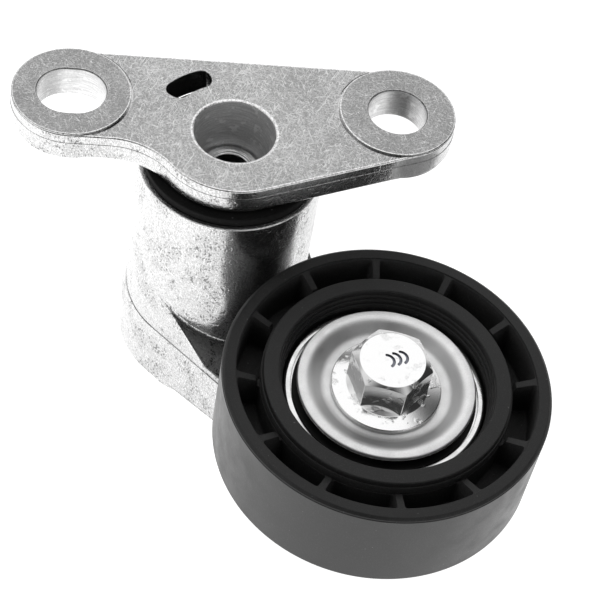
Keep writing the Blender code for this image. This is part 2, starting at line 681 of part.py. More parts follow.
def add_front_dust_shield(axis):
    """Pressed disc on the inner ring: flat land, shallow groove, raised rolled rim."""
    face = list(FRONT_SHIELD_FACE)
    edge = face[-1][0]
    inside_rim = edge - SHIELD_SHEET
    under = [(radius, height - SHIELD_SHEET) for radius, height in face[1:5]]
    land_bottom = BEARING_TOP + FACE_GAP
    profile = [(BOLT_CLEARANCE_HOLE, land_bottom), (face[0][0], land_bottom)] + under
    profile += [(inside_rim, under[-1][1]), (inside_rim, FRONT_SHIELD_LIP), (edge, FRONT_SHIELD_LIP)]
    profile += face[::-1] + [(BOLT_CLEARANCE_HOLE, face[0][1])]
    add_piece(turned_mesh("front_dust_shield", profile, FINE_SEGMENTS), ZINC, axis)


def add_rear_dust_shield(axis):
    """Turned spacer behind the bearing with a thin skirt that covers the rear seal."""
    bottom, top = PEDESTAL_TOP + FACE_GAP, BEARING_BOTTOM - FACE_GAP
    inner, sleeve = SPIGOT_RADIUS + FIT_GAP, INNER_LAND - FIT_GAP
    skirt_bottom = bottom + REAR_SHIELD_DISH
    skirt_top = skirt_bottom + SHIELD_SHEET
    profile = [
        (inner, bottom),
        (sleeve, bottom),
        (REAR_SHIELD_RADIUS, skirt_bottom),
        (REAR_SHIELD_RADIUS, skirt_top),
        (sleeve, skirt_top),
        (sleeve, top),
        (inner, top),
    ]
    add_piece(turned_mesh("rear_dust_shield", profile, SMALL_SEGMENTS), ZINC, axis)


# ---------------------------------------------------------------- ball bearing
def race_groove(land, side):
    """Points of a ball groove from its upper edge to its lower edge; side is +1 outside, -1 inside."""
    radius = BALL_RADIUS + RACE_CLEARANCE
    half = acos(side * (land - BALL_CIRCLE) / radius)
    points = []
    for i in range(RACE_STEPS + 1):
        angle = half * (1 - 2 * i / RACE_STEPS)
        height = BEARING_MIDDLE + radius * sin(angle)
        points.append((BALL_CIRCLE + side * radius * cos(angle), height))
    return points


def add_bearing_inner_ring(axis):
    profile = [(BEARING_BORE, BEARING_TOP), (INNER_LAND, BEARING_TOP)]
    profile += race_groove(INNER_LAND, -1)
    profile += [(INNER_LAND, BEARING_BOTTOM), (BEARING_BORE, BEARING_BOTTOM)]
    add_piece(turned_mesh("bearing_inner_ring", profile, SMALL_SEGMENTS), BRIGHT_STEEL, axis)


def add_bearing_outer_ring(axis):
    top_step, bottom_step = BEARING_TOP - SEAL_SEAT_DEPTH, BEARING_BOTTOM + SEAL_SEAT_DEPTH
    profile = [
        (BEARING_OUTER, BEARING_BOTTOM),
        (BEARING_OUTER, BEARING_TOP),
        (SEAL_SEAT_RADIUS, BEARING_TOP),
        (SEAL_SEAT_RADIUS, top_step),
        (OUTER_LAND, top_step),
    ]
    profile += race_groove(OUTER_LAND, 1)
    profile += [(OUTER_LAND, bottom_step), (SEAL_SEAT_RADIUS, bottom_step)]
    profile += [(SEAL_SEAT_RADIUS, BEARING_BOTTOM)]
    add_piece(turned_mesh("bearing_outer_ring", profile, FINE_SEGMENTS), BRIGHT_STEEL, axis)


def add_bearing_seals(axis):
    inner, outer = INNER_LAND + FIT_GAP, SEAL_SEAT_RADIUS - FIT_GAP
    front = BEARING_TOP - SEAL_SEAT_DEPTH + FACE_GAP
    rear = BEARING_BOTTOM + SEAL_SEAT_DEPTH - FACE_GAP - SEAL_THICKNESS
    for name, bottom in (("front_bearing_seal", front), ("rear_bearing_seal", rear)):
        profile = ring_profile(inner, outer, bottom, bottom + SEAL_THICKNESS)
        add_piece(turned_mesh(name, profile, SMALL_SEGMENTS), BLACK_RUBBER, axis)


def cage_height(angle):
    """Distance of the cage sheet's inner face from the bearing's middle plane."""
    pocket = BALL_RADIUS + FIT_GAP
    to_ball = BALL_CIRCLE * abs((angle + pi / BALL_COUNT) % (tau / BALL_COUNT) - pi / BALL_COUNT)
    over_ball = sqrt(max(pocket**2 - to_ball**2, 0.0))
    return max(over_ball, CAGE_HALF_GAP)


def add_bearing_cage(axis):
    """Two pressed half cages, mirrored, each a flat ribbon that bulges round every ball."""
    steps = BALL_COUNT * CAGE_STEPS_PER_BALL
    for name, side in (("bearing_cage_front", 1), ("bearing_cage_rear", -1)):
        sections = []
        for i in range(steps):
            angle = tau * (i + 0.5) / steps
            near = BEARING_MIDDLE + side * cage_height(angle)
            far = near + side * CAGE_SHEET
            sections.append(ring_section(angle, CAGE_INNER, CAGE_OUTER, near, far))
        add_piece(swept_mesh(name, sections, closed=True), STEEL, axis)


def add_bearing_balls(axis):
    for i in range(BALL_COUNT):
        x, y = polar(BALL_CIRCLE, tau * i / BALL_COUNT)
        bm = bmesh.new()
        bmesh.ops.create_uvsphere(
            bm, u_segments=BALL_SEGMENTS, v_segments=BALL_RINGS, radius=BALL_RADIUS
        )
        ball = add_piece(new_mesh(bm, f"bearing_ball_{i + 1}"), BRIGHT_STEEL, axis)
        ball.location = (x, y, BEARING_MIDDLE)


# ---------------------------------------------------------------- pulley
def pocket_meshes():
    """The hollows between the ribs, front and rear, each as one mesh of separate blocks."""
    half = tau / RIB_COUNT / 2 - RIB_THICKNESS / (RIM_INNER + HUB_RING_OUTER)
    inner, outer = HUB_RING_OUTER + POCKET_INSET, RIM_INNER - POCKET_INSET
    web_middle = (PULLEY_BOTTOM + PULLEY_TOP) / 2
    spans = (
        ("front_pockets", web_middle + WEB_THICKNESS / 2, PULLEY_TOP + OVERSHOOT),
        ("rear_pockets", PULLEY_BOTTOM - OVERSHOOT, web_middle - WEB_THICKNESS / 2),
    )
    for name, bottom, top in spans:
        bm = bmesh.new()
        for i in range(RIB_COUNT):
            middle = RIB_START_ANGLE + tau * (i + 0.5) / RIB_COUNT
            outline = ring_sector(inner, outer, middle - half, middle + half)
            block = prism_mesh(name, outline, bottom, top)
            bm.from_mesh(block)
            bpy.data.meshes.remove(block)
        yield new_mesh(bm, name)


def add_pulley_body(axis):
    """Moulded pulley: smooth rim, hub ring round the bearing, twelve ribs each side of a thin web."""
    bearing_hole = BEARING_OUTER + FIT_GAP
    rear_lip = BEARING_BOTTOM - FACE_GAP
    profile = [
        (PULLEY_RADIUS - PULLEY_CHAMFER, PULLEY_BOTTOM),
        (PULLEY_RADIUS, PULLEY_BOTTOM + PULLEY_CHAMFER),
        (PULLEY_RADIUS, PULLEY_TOP - PULLEY_CHAMFER),
        (PULLEY_RADIUS - PULLEY_CHAMFER, PULLEY_TOP),
        (RIM_INNER, PULLEY_TOP),
        (RIM_INNER, PULLEY_TOP - RIB_RECESS),
        (HUB_RING_OUTER, PULLEY_TOP - RIB_RECESS),
        (HUB_RING_OUTER, PULLEY_TOP),
        (HUB_RING_INNER, PULLEY_TOP),
        (HUB_RING_INNER, BEARING_TOP + BORE_STEP_HIGH),
        (bearing_hole + BORE_STEP_WIDTH, BEARING_TOP + BORE_STEP_MIDDLE),
        (bearing_hole, BEARING_TOP + BORE_STEP_LOW),
        (bearing_hole, rear_lip),
        (BEARING_OUTER - BORE_LIP, rear_lip),
        (BEARING_OUTER - BORE_LIP, rear_lip - BORE_LIP_HEIGHT),
        (HUB_RING_INNER, rear_lip - BORE_FLARE_HEIGHT),
        (HUB_RING_INNER, PULLEY_BOTTOM),
        (HUB_RING_OUTER, PULLEY_BOTTOM),
        (HUB_RING_OUTER, PULLEY_BOTTOM + RIB_RECESS),
        (RIM_INNER, PULLEY_BOTTOM + RIB_RECESS),
        (RIM_INNER, PULLEY_BOTTOM),
    ]
    piece = add_piece(turned_mesh("pulley_body", profile, FINE_SEGMENTS), BLACK_NYLON, axis)
    for pockets in pocket_meshes():
        cut(piece, pockets)


def main():
    for thing in list(bpy.data.objects):
        bpy.data.objects.remove(thing)
    base = add_empty("base_frame", (0, 0, 0))
    arm = add_empty("arm_pivot_axis", (0, 0, 0), base)
    axis = add_empty("pulley_axis", (*PULLEY_AXIS, 0), arm)
    add_mounting_plate(base)
    add_pivot_pin(base)
    add_retaining_plate(base)
    add_thrust_washer(base)
    add_torsion_spring(base)
    add_upper_spring_seat(base)
    add_tensioner_arm(arm)
    add_lower_spring_seat(arm)
    add_pivot_bushing(arm)
    add_upper_bushing(arm)
    add_damper_ring(arm)
    add_pulley_bolt(axis)
    add_front_dust_shield(axis)
    add_rear_dust_shield(axis)
    add_bearing_inner_ring(axis)
    add_bearing_outer_ring(axis)
    add_bearing_seals(axis)
    add_bearing_cage(axis)
    add_bearing_balls(axis)
    add_pulley_body(axis)


main()
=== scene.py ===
"""Looks of the belt tensioner: fine meshes, materials, floor, light and camera round the frame.

Metres, in the frame's own axes: +Z up along the arm's pivot axis, which passes through the origin.
The corners of a profile are (radius, height) or (radius, height, fillet).
"""

from math import acos, asin, atan2, ceil, cos, hypot, pi, radians, sin, sqrt, tan, tau

import bmesh
import bpy
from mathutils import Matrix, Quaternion, Vector


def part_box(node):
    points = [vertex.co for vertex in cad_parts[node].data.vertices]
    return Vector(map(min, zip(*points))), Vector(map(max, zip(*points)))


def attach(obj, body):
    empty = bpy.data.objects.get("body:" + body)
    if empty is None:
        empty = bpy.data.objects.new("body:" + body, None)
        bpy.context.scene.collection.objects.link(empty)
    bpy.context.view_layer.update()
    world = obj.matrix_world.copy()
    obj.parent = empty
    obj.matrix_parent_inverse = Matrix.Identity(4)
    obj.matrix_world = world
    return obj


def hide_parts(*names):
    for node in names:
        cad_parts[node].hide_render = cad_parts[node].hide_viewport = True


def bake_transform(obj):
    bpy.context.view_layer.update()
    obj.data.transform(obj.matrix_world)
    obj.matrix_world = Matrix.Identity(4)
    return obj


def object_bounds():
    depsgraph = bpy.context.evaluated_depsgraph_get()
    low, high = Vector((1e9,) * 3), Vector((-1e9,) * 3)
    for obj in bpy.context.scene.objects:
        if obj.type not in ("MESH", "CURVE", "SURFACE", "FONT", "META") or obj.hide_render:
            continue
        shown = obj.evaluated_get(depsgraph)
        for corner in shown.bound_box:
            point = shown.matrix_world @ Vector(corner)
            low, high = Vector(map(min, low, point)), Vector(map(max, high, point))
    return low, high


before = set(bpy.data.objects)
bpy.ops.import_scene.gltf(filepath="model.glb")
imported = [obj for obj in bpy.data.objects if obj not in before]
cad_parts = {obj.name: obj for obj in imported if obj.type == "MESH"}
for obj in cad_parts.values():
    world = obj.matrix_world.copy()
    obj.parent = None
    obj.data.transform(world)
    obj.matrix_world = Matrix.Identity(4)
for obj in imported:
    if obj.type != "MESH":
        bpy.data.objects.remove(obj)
cad_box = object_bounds()


# ---------------- sizes
def round_node(node):
    """Centre, radius, lowest and highest point of a node that is round about a vertical axis."""
    low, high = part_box(node)
    centre = ((low.x + high.x) / 2, (low.y + high.y) / 2)
    return centre, (high.x - low.x) / 2, low.z, high.z


PULLEY_AXIS, PULLEY_RADIUS, PULLEY_BOTTOM, PULLEY_TOP = round_node("pulley_body")
_, BEARING_OUTER, BEARING_BOTTOM, BEARING_TOP = round_node("bearing_outer_ring")
_, BOLT_FLANGE_RADIUS, BOLT_TIP, BOLT_HEAD_TOP = round_node("pulley_bolt")
_, FRONT_SHIELD_RADIUS, _, FRONT_SHIELD_TOP = round_node("front_dust_shield")
_, REAR_SHIELD_RADIUS, REAR_SHIELD_BOTTOM, REAR_SHIELD_TOP = round_node("rear_dust_shield")
_, BUSHING_FLANGE, BUSHING_BOTTOM, BUSHING_TOP = round_node("upper_bushing")
_, PIN_HEAD_RADIUS, PIN_BOTTOM, PIN_TOP = round_node("pivot_pin")
WASHER_RADIUS = round_node("thrust_washer")[1]
RETAINER_BOTTOM, RETAINER_TOP = (corner.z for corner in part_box("retaining_plate"))
DAMPER_BOTTOM, DAMPER_TOP = (corner.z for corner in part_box("damper_ring"))
DRUM_BOTTOM, PAD_TOP = (corner.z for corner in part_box("mounting_plate"))
CUP_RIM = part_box("tensioner_arm")[1].z
BEARING_MIDDLE = (BEARING_BOTTOM + BEARING_TOP) / 2

PIVOT = (0.0, 0.0)
PAD_RISE = 0.0004
PLATE_TOP = PAD_TOP - PAD_RISE
PLATE_UNDER = PLATE_TOP - 0.0060
PAD_UNDER = PLATE_UNDER - 0.0009
PLATE_PARTING_Z = PLATE_TOP - 0.0021
EAR_Y = 0.0079
LEFT_EAR = (-0.0325, EAR_Y)
RIGHT_EAR = (0.0331, EAR_Y)
EAR_RADIUS = 0.01208
PAD_RADIUS = 0.0120
HOLE_RADIUS = 0.0060
SLOT_STRETCH = 0.0018
LOBE_RADIUS = 0.0162
REAR_EDGE_Y = 0.0195
WAIST_RADIUS = 0.0148
WINDOW = (0.0131, 0.0178, radians(108.0), radians(145.5), 0.0020)
RECESS_MOUTH = 0.0083
RECESS_FLOOR_RADIUS = 0.00635
RECESS_FLOOR = PLATE_TOP - 0.0119
DRUM_RADIUS = 0.0130

PIN_RADIUS = 0.0052
PIN_BORE = 0.0039
PIN_BORE_FLOOR = 0.008
PIN_FLARE = 0.00605
PIN_HEAD_HEIGHT = 0.0024
PIN_HOLE = 0.0055

ARM_LENGTH = hypot(*PULLEY_AXIS)
ARM_ANGLE = atan2(PULLEY_AXIS[1], PULLEY_AXIS[0])
FOOT_RADIUS = 0.01999
BOSS_RADIUS = 0.0118
PARTING_LEDGE = 0.0009
UPPER_FOOT = FOOT_RADIUS - PARTING_LEDGE
UPPER_BOSS = BOSS_RADIUS - PARTING_LEDGE
LEDGE_Z = 0.0151
ARM_TOP = 0.0168
CUP_RADIUS = 0.0189
CUP_BORE = 0.0158
CUP_FLOOR = 0.0090
HUB_RADIUS = 0.0101
HUB_BORE = 0.0082
HUB_TOP = 0.0420
FOOT_RECESS = (0.0126, 0.0060)      # radius and depth
GUSSET_SLOPE = 0.713
GUSSET_APEX_Z = 0.0301
UNDERSIDE_Z = 0.0060
UNDERSIDE_SLOPE = 0.237
UNDERSIDE_SLOPE_END = 0.0266
PEDESTAL = (0.0105, 0.0224)         # radius and top
SPIGOT = (0.0082, 0.0364)
BOLT_THREAD_HOLE = 0.0052
STOP_TAB = (0.0149, radians(143.0), radians(157.0))   # radius, first and last angle
STOP_POCKET = (0.0152, radians(91.5), radians(158.5))

WIRE_RADIUS = 0.0021
COIL_RADIUS = 0.01295
COIL_PITCH = 0.0050
COIL_TURNS = 6
COIL_START_Z = 0.0129
COIL_START_ANGLE = radians(-60.0)
SEAT_INNER = 0.0104
SEAT_OUTER = 0.0155
SEAT_SPLIT = radians(14.0)
SEAT_REACH = WIRE_RADIUS + 0.0002
BUSHING_INNER = 0.0133

RIM_INNER = 0.0297
HUB_RING_OUTER = 0.0244
HUB_RING_INNER = 0.0212
RIB_COUNT = 12
RIB_RECESS = 0.0010
RIB_THICKNESS = 0.0015
RIB_START_ANGLE = radians(1.5)
WEB_THICKNESS = 0.0030

BEARING_BORE = 0.0085
BALL_COUNT = 8
BALL_RADIUS = 0.00337
BALL_CIRCLE = 0.01425
RACE_RADIUS = BALL_RADIUS + 0.00018
INNER_LAND = 0.0122
OUTER_LAND = 0.0172
SHIELD_SLOPE = (0.0127, 0.0157)     # inner and outer radius of its sloping band
SEAL_SEAT = (0.0186, 0.0010)        # radius and depth
CAGE = (0.0129, 0.0156, 0.0008)     # inner radius, outer radius, sheet

BOLT_RADIUS = 0.0049
BOLT_SEAT = 0.0382
BOLT_FLANGE_EDGE = 0.0008
THREAD_PITCH = 0.0015
THREAD_DEPTH = 0.0008
THREAD_TOP = 0.0210
HEX_CORNER = 0.0140 / sqrt(3)
HEX_ANGLE = radians(45.8)
HEX_CHAMFER_RADIUS = 0.0064
MARK_TURN = radians(20.0)
MARK_DEPTH = 0.00035
MARK_RADII = (0.0012, 0.0018)
MARK_SPACING = 0.0014
MARK_HALF_TURN = radians(75)

# ---------------- studio
CAMERA_AIM = (0.01548, -0.02159, 0.03705)
CAMERA_DISTANCE = 0.36781
CAMERA_SIDE = (radians(-10.555), radians(51.246))     # azimuth and elevation
CAMERA_ROLL = radians(11.351)
CAMERA_LENS = 109.11                # for a sensor 36 wide
FLOOR_GAP = 0.0002
FLOOR_REACH = 2.0
FLOOR_FADE = (-0.07, 0.03)          # the floor's glow changes between these x
FLOOR_GLOW = (1.40, 1.02)           # left and right of the fade
DOME_BRIGHT = 0.72
# Azimuth from the front towards +X, elevation, full and faded radius of the patch, brightness.
STUDIO_PATCHES = (
    (175.0, 62.0, 18.0, 40.0, 1.06),
    (98.0, 36.0, 22.0, 36.0, 0.03),
    (-119.0, 30.0, 10.0, 26.0, 0.30),
    (-10.0, 50.0, 24.0, 44.0, 0.04),
)

# ---------------- fineness
SEGMENTS = 160
SMALL_SEGMENTS = 96
ARC_STEP = radians(2.5)
EDGE_STEPS = 4
OVERSHOOT = 0.001
SKIM = 0.00002           # keeps overlapping walls of one casting from lying in one plane
GAP = 0.0001             # between pieces that face each other
SOFT = 0.0003            # fillets, from the usual one to the sharpest
FINE = 0.0002
CRISP = 0.0001
SHARP_ANGLE = radians(40)


# ---------------- outlines
def polar(radius, angle, centre=PIVOT):
    return (centre[0] + radius * cos(angle), centre[1] + radius * sin(angle))


def arc(centre, radius, start, end):
    steps = max(1, ceil(abs(end - start) / ARC_STEP - 0.001))
    return [polar(radius, start + (end - start) * i / steps, centre) for i in range(steps + 1)]


def circle(centre, radius, segments=SEGMENTS):
    return [polar(radius, tau * i / segments, centre) for i in range(segments)]


def rounded(corners, steps=EDGE_STEPS):
    """A closed outline of (x, y) or (x, y, fillet radius) corners, its fillets drawn as arcs."""
    points = []
    for i, corner in enumerate(corners):
        here = Vector(corner[:2])
        before = Vector(corners[i - 1][:2]) - here
        after = Vector(corners[(i + 1) % len(corners)][:2]) - here
        radius = corner[2] if len(corner) > 2 else 0.0
        half = before.angle(after) / 2
        if radius <= 0 or half > radians(89.5):
            points.append(tuple(here))
            continue
        reach = min(radius / tan(half), before.length * 0.49, after.length * 0.49)
        middle = (before.normalized() + after.normalized()).normalized() * (reach / cos(half))
        first = before.normalized() * reach - middle
        last = after.normalized() * reach - middle
        turn = atan2(first.x * last.y - first.y * last.x, first.dot(last))
        for k in range(steps + 1):
            angle = turn * k / steps
            x = first.x * cos(angle) - first.y * sin(angle)
            y = first.x * sin(angle) + first.y * cos(angle)
            points.append((here.x + middle.x + x, here.y + middle.y + y))
    return points


def offset(outline, inset):
    """The outline, which runs anticlockwise, moved inwards with mitred corners."""
    points = []
    for i, (x, y) in enumerate(outline):
        before = Vector((x, y)) - Vector(outline[i - 1])
        after = Vector(outline[(i + 1) % len(outline)]) - Vector((x, y))
        a = Vector((-before.y, before.x)).normalized()
        b = Vector((-after.y, after.x)).normalized()
        move = (a + b) * (inset / (1 + a.dot(b)))
        points.append((x + move.x, y + move.y))
    return points


def two_circle_outline(near, far):
    """Outline round a circle at the pivot, a circle at the pulley and their outer tangents."""
    lean = acos((near - far) / ARM_LENGTH)
    far_arc = arc(PULLEY_AXIS, far, ARM_ANGLE - lean, ARM_ANGLE + lean)
    near_arc = arc(PIVOT, near, ARM_ANGLE + lean, ARM_ANGLE + tau - lean)
    return far_arc + near_arc


def plate_outline():
    """The plate's edge: right ear, straight rear edge, left ear, waist, pivot lobe."""
    rise = REAR_EDGE_Y - EAR_Y
    run = sqrt(EAR_RADIUS**2 - rise**2)
    towards_ear = atan2(RIGHT_EAR[1], RIGHT_EAR[0])
    right_tangent = towards_ear + asin((LOBE_RADIUS - EAR_RADIUS) / hypot(*RIGHT_EAR)) - pi / 2
    waist_y = EAR_Y - EAR_RADIUS - WAIST_RADIUS
    waist_x = -sqrt((LOBE_RADIUS + WAIST_RADIUS) ** 2 - waist_y**2)
    to_lobe = atan2(-waist_y, -waist_x)
    right = arc(RIGHT_EAR, EAR_RADIUS, right_tangent, atan2(rise, -run))
    left = arc(LEFT_EAR, EAR_RADIUS, atan2(rise, run), 1.5 * pi)
    waist = arc((waist_x, waist_y), WAIST_RADIUS, pi / 2, to_lobe)
    lobe = arc(PIVOT, LOBE_RADIUS, to_lobe + pi, right_tangent + tau)
    return right + left[:-1] + waist[:-1] + lobe[:-1]


def slot_outline(centre, radius, stretch):
    half = stretch / 2
    right = arc((centre[0] + half, centre[1]), radius, -pi / 2, pi / 2)
    left = arc((centre[0] - half, centre[1]), radius, pi / 2, 1.5 * pi)
    return right + left


def ring_sector(inner, outer, start, end, corner=0.0, centre=PIVOT):
    """A sector of a ring with rounded corners, anticlockwise."""
    turn = 2 * corner / (inner + outer)
    steps = EDGE_STEPS if corner else 0

    def corner_arc(radius, angle, first):
        turns = [first + pi / 2 * i / max(steps, 1) for i in range(steps + 1)]
        return [polar(radius + corner * sin(b), angle + turn * cos(b), centre) for b in turns][::-1]

    points = corner_arc(outer - corner, start + turn, pi / 2)
    points += arc(centre, outer, start + turn, end - turn)[1:-1]
    points += corner_arc(outer - corner, end - turn, 0.0)
    points += corner_arc(inner + corner, end - turn, -pi / 2)
    points += arc(centre, inner, end - turn, start + turn)[1:-1]
    return points + corner_arc(inner + corner, start + turn, pi)


# ---------------- walls with rounded ends
def bend(radius, steps=EDGE_STEPS):
    """Points of a quarter circle from (radius, 0) to (0, radius), bulging to the origin."""
    turns = [pi / 2 * i / steps for i in range(steps + 1)]
    return [(radius * (1 - sin(a)), radius * (1 - cos(a))) for a in turns]


def edge_levels(bottom, top, low=0.0, high=0.0):
    """(inset, height) pairs of a solid's wall whose lower and upper edges are rounded."""
    foot = [(x, bottom + y) for x, y in bend(low)] if low else [(0, bottom)]
    head = [(y, top - x) for x, y in bend(high)] if high else [(0, top)]
    return foot + head


def flared_levels(bottom, top, flare):
    """The same for a cutter that rounds the rims of the hole it makes."""
    mouth = [(-y, x) for x, y in bend(flare)]
    foot = [(inset, bottom + depth - SKIM) for inset, depth in mouth[::-1]]
    head = [(inset, top - depth + SKIM) for inset, depth in mouth]
    return [(-flare, bottom - OVERSHOOT)] + foot + head + [(-flare, top + OVERSHOOT)]


# ---------------- solids
def as_mesh(bm, name):
    bmesh.ops.remove_doubles(bm, verts=bm.verts, dist=1e-7)
    bmesh.ops.recalc_face_normals(bm, faces=bm.faces)
    mesh = bpy.data.meshes.new(name)
    bm.to_mesh(mesh)
    bm.free()
    return mesh


def skin(bm, rings, closed):
    """Faces between rings of vertices; a ring of one vertex is a point on the axis."""
    following = rings[1:] + (rings[:1] if closed else [])
    for a, b in zip(rings, following):
        count = max(len(a), len(b))
        if count == 1:
            continue
        for i in range(count):
            j = (i + 1) % count
            around = (a[i % len(a)], a[j % len(a)], b[j % len(b)], b[i % len(b)])
            bm.faces.new(list(dict.fromkeys(around)))


def lathe(name, corners, centre=PIVOT, segments=SEGMENTS, shape=None):
    """A closed profile of (radius, height, fillet) corners turned about a vertical axis."""
    bm = bmesh.new()
    rings = []
    for radius, z in rounded(corners):
        angles = [tau * i / segments for i in range(segments)] if radius > 1e-9 else [0.0]
        ring = []
        for angle in angles:
            x, y = polar(shape(radius, z, angle) if shape else radius, angle, centre)
            ring.append(bm.verts.new((x, y, z)))
        rings.append(ring)
    skin(bm, rings, closed=True)
    return as_mesh(bm, name)


def loft(name, outline, levels):
    """A solid whose wall follows the outline at each (inset, height) level, with flat ends."""
    bm = bmesh.new()
    rings = []
    for inset, z in levels:
        rings.append([bm.verts.new((x, y, z)) for x, y in offset(outline, inset)])
    skin(bm, rings, closed=False)
    bm.faces.new(rings[0][::-1])
    bm.faces.new(rings[-1])
    return as_mesh(bm, name)


def sweep(name, sections, closed=False):
    bm = bmesh.new()
    rings = [[bm.verts.new(point) for point in section] for section in sections]
    skin(bm, rings, closed)
    if not closed:
        bm.faces.new(rings[0])
        bm.faces.new(rings[-1])
    return as_mesh(bm, name)


def joined(name, meshes):
    bm = bmesh.new()
    for mesh in meshes:
        bm.from_mesh(mesh)
        bpy.data.meshes.remove(mesh)
    return as_mesh(bm, name)


def carve(start, *steps):
    """The start mesh after each (operation, mesh) Boolean in turn, as a plain mesh."""
    scene = bpy.context.scene.collection
    body = bpy.data.objects.new(start.name, start)
    scene.objects.link(body)
    tools = []
    for operation, mesh in steps:
        tool = bpy.data.objects.new(mesh.name, mesh)
        scene.objects.link(tool)
        tools.append(tool)
        modifier = body.modifiers.new(mesh.name, "BOOLEAN")
        modifier.operation = operation
        modifier.solver = "EXACT"
        modifier.object = tool
    evaluated = body.evaluated_get(bpy.context.evaluated_depsgraph_get())
    result = bpy.data.meshes.new_from_object(evaluated)
    for thing in [body, *tools]:
        bpy.data.objects.remove(thing)
    result.materials.clear()
    return result


def away(point, axis=PIVOT):
    """Distance of a point from a vertical axis."""
    return hypot(point.x - axis[0], point.y - axis[1])


def ring(inner, outer, bottom, top, fillet=FINE):
    """Profile of a plain ring."""
    corners = ((inner, bottom), (outer, bottom), (outer, top), (inner, top))
    return [(*corner, fillet) for corner in corners]


def ring_section(angle, inner, outer, bottom, top, fillet=0.00015):
    """A ring's rounded cross section, stood up in the vertical plane at this angle."""
    return [(*polar(r, angle), z) for r, z in rounded(ring(inner, outer, bottom, top, fillet), 2)]


# ---------------- materials
LOOKS = {}               # the materials by name; each Look adds its own


class Nodes:
    """A node tree, built up step by step."""

    def __init__(self, tree):
        self.tree = tree

    def feed(self, socket, value):
        if isinstance(value, bpy.types.NodeSocket):
            self.tree.links.new(value, socket)
        else:
            socket.default_value = value

    def add(self, kind, inputs=None, **settings):
        node = self.tree.nodes.new(kind)
        for key, value in settings.items():
            setattr(node, key, value)
        for key, value in (inputs or {}).items():
            self.feed(node.inputs[key], value)
        return node

    def math(self, operation, *values):
        return self.add("ShaderNodeMath", dict(enumerate(values)), operation=operation).outputs[0]

    def vector(self, operation, *values, output="Vector"):
        node = self.add("ShaderNodeVectorMath", dict(enumerate(values)), operation=operation)
        return node.outputs[output]

    def step(self, value, low, high, start=0.0, end=1.0):
        """The value from low to high, remapped to start..end and held beyond."""
        inputs = {"Value": value, "From Min": low, "From Max": high, "To Min": start, "To Max": end}
        mapped = self.add("ShaderNodeMapRange", inputs, interpolation_type="SMOOTHSTEP")
        return mapped.outputs["Result"]

    def mix(self, factor, a, b):
        node = self.add("ShaderNodeMix", {"Factor": factor}, data_type="RGBA")
        for socket, value in zip([s for s in node.inputs if s.type == "RGBA"], (a, b)):
            self.feed(socket, value)
        return next(s for s in node.outputs if s.type == "RGBA")

    def over(self, base, mask, amount, value):
        """The base colour with a grey laid over it by the mask, up to this amount."""
        return self.mix(self.math("MULTIPLY", mask, amount), base, grey(value))


class Look(Nodes):
    """A material on one Principled BSDF. Sizes of its textures are in metres."""

    def __init__(self, name, roughness, metallic=0.0, specular=0.5):
        material = bpy.data.materials.new(name)
        material.use_nodes = True
        super().__init__(material.node_tree)
        self.place = self.add("ShaderNodeTexCoord").outputs["Object"]
        self.roughness(roughness)
        self.set("Metallic", metallic)
        self.set("Specular IOR Level", specular)
        LOOKS[name] = material

    def set(self, name, value):
        self.feed(self.tree.nodes["Principled BSDF"].inputs[name], value)

    def colour(self, value):
        self.set("Base Color", value)

    def roughness(self, value):
        self.set("Roughness", value)

    def cloudy(self, clouds, low, high):
        """Roughness that drifts between these two."""
        self.roughness(self.step(clouds, 0.3, 0.7, low, high))

    def bump(self, height, depth, strength):
        inputs = {"Strength": strength, "Distance": depth, "Height": height}
        self.set("Normal", self.add("ShaderNodeBump", inputs).outputs["Normal"])

    def noise(self, size, detail=2.0, turn=(0.0, 0.0, 0.0), at=None, rough=0.55, wave=0.0):
        """Noise whose features have this size, which may differ along x, y and z and be turned."""
        size = size if isinstance(size, tuple) else (size, size, size)
        inputs = {"Vector": at or self.place, "Rotation": turn, "Scale": size}
        place = self.add("ShaderNodeMapping", inputs, vector_type="TEXTURE").outputs["Vector"]
        inputs = {"Vector": place, "Scale": 1.0, "Detail": detail}
        inputs |= {"Roughness": rough, "Distortion": wave}
        return self.add("ShaderNodeTexNoise", inputs).outputs["Fac"]

    def scratches(self, length, width, count, cut, lean=0.0):
        """Fine, slightly bent needle marks in several directions: 1 on a mark, 0 between them."""
        total = None
        for i in range(count):
            turn = pi * (i + 0.37) / count
            turns = (turn * lean, turn * lean * 1.7, turn)
            place = self.vector("ADD", self.place, (0.031 * i, 0.017 * i, 0.011 * i))
            field = self.noise((length, width, width), 0.0, turns, place, wave=0.35)
            marks = self.step(field, cut, cut + 0.07)
            total = marks if total is None else self.math("MAXIMUM", total, marks)
        return total

    def reach(self, point, across=(1.0, 1.0, 1.0)):
        """Distance from a point, or from the vertical line through it if across leaves out z."""
        kept = self.vector("MULTIPLY", self.vector("SUBTRACT", self.place, point), across)
        return self.vector("LENGTH", kept, output="Value")


def grey(value, tint=(1.0, 1.0, 1.0)):
    return (value * tint[0], value * tint[1], value * tint[2], 1.0)


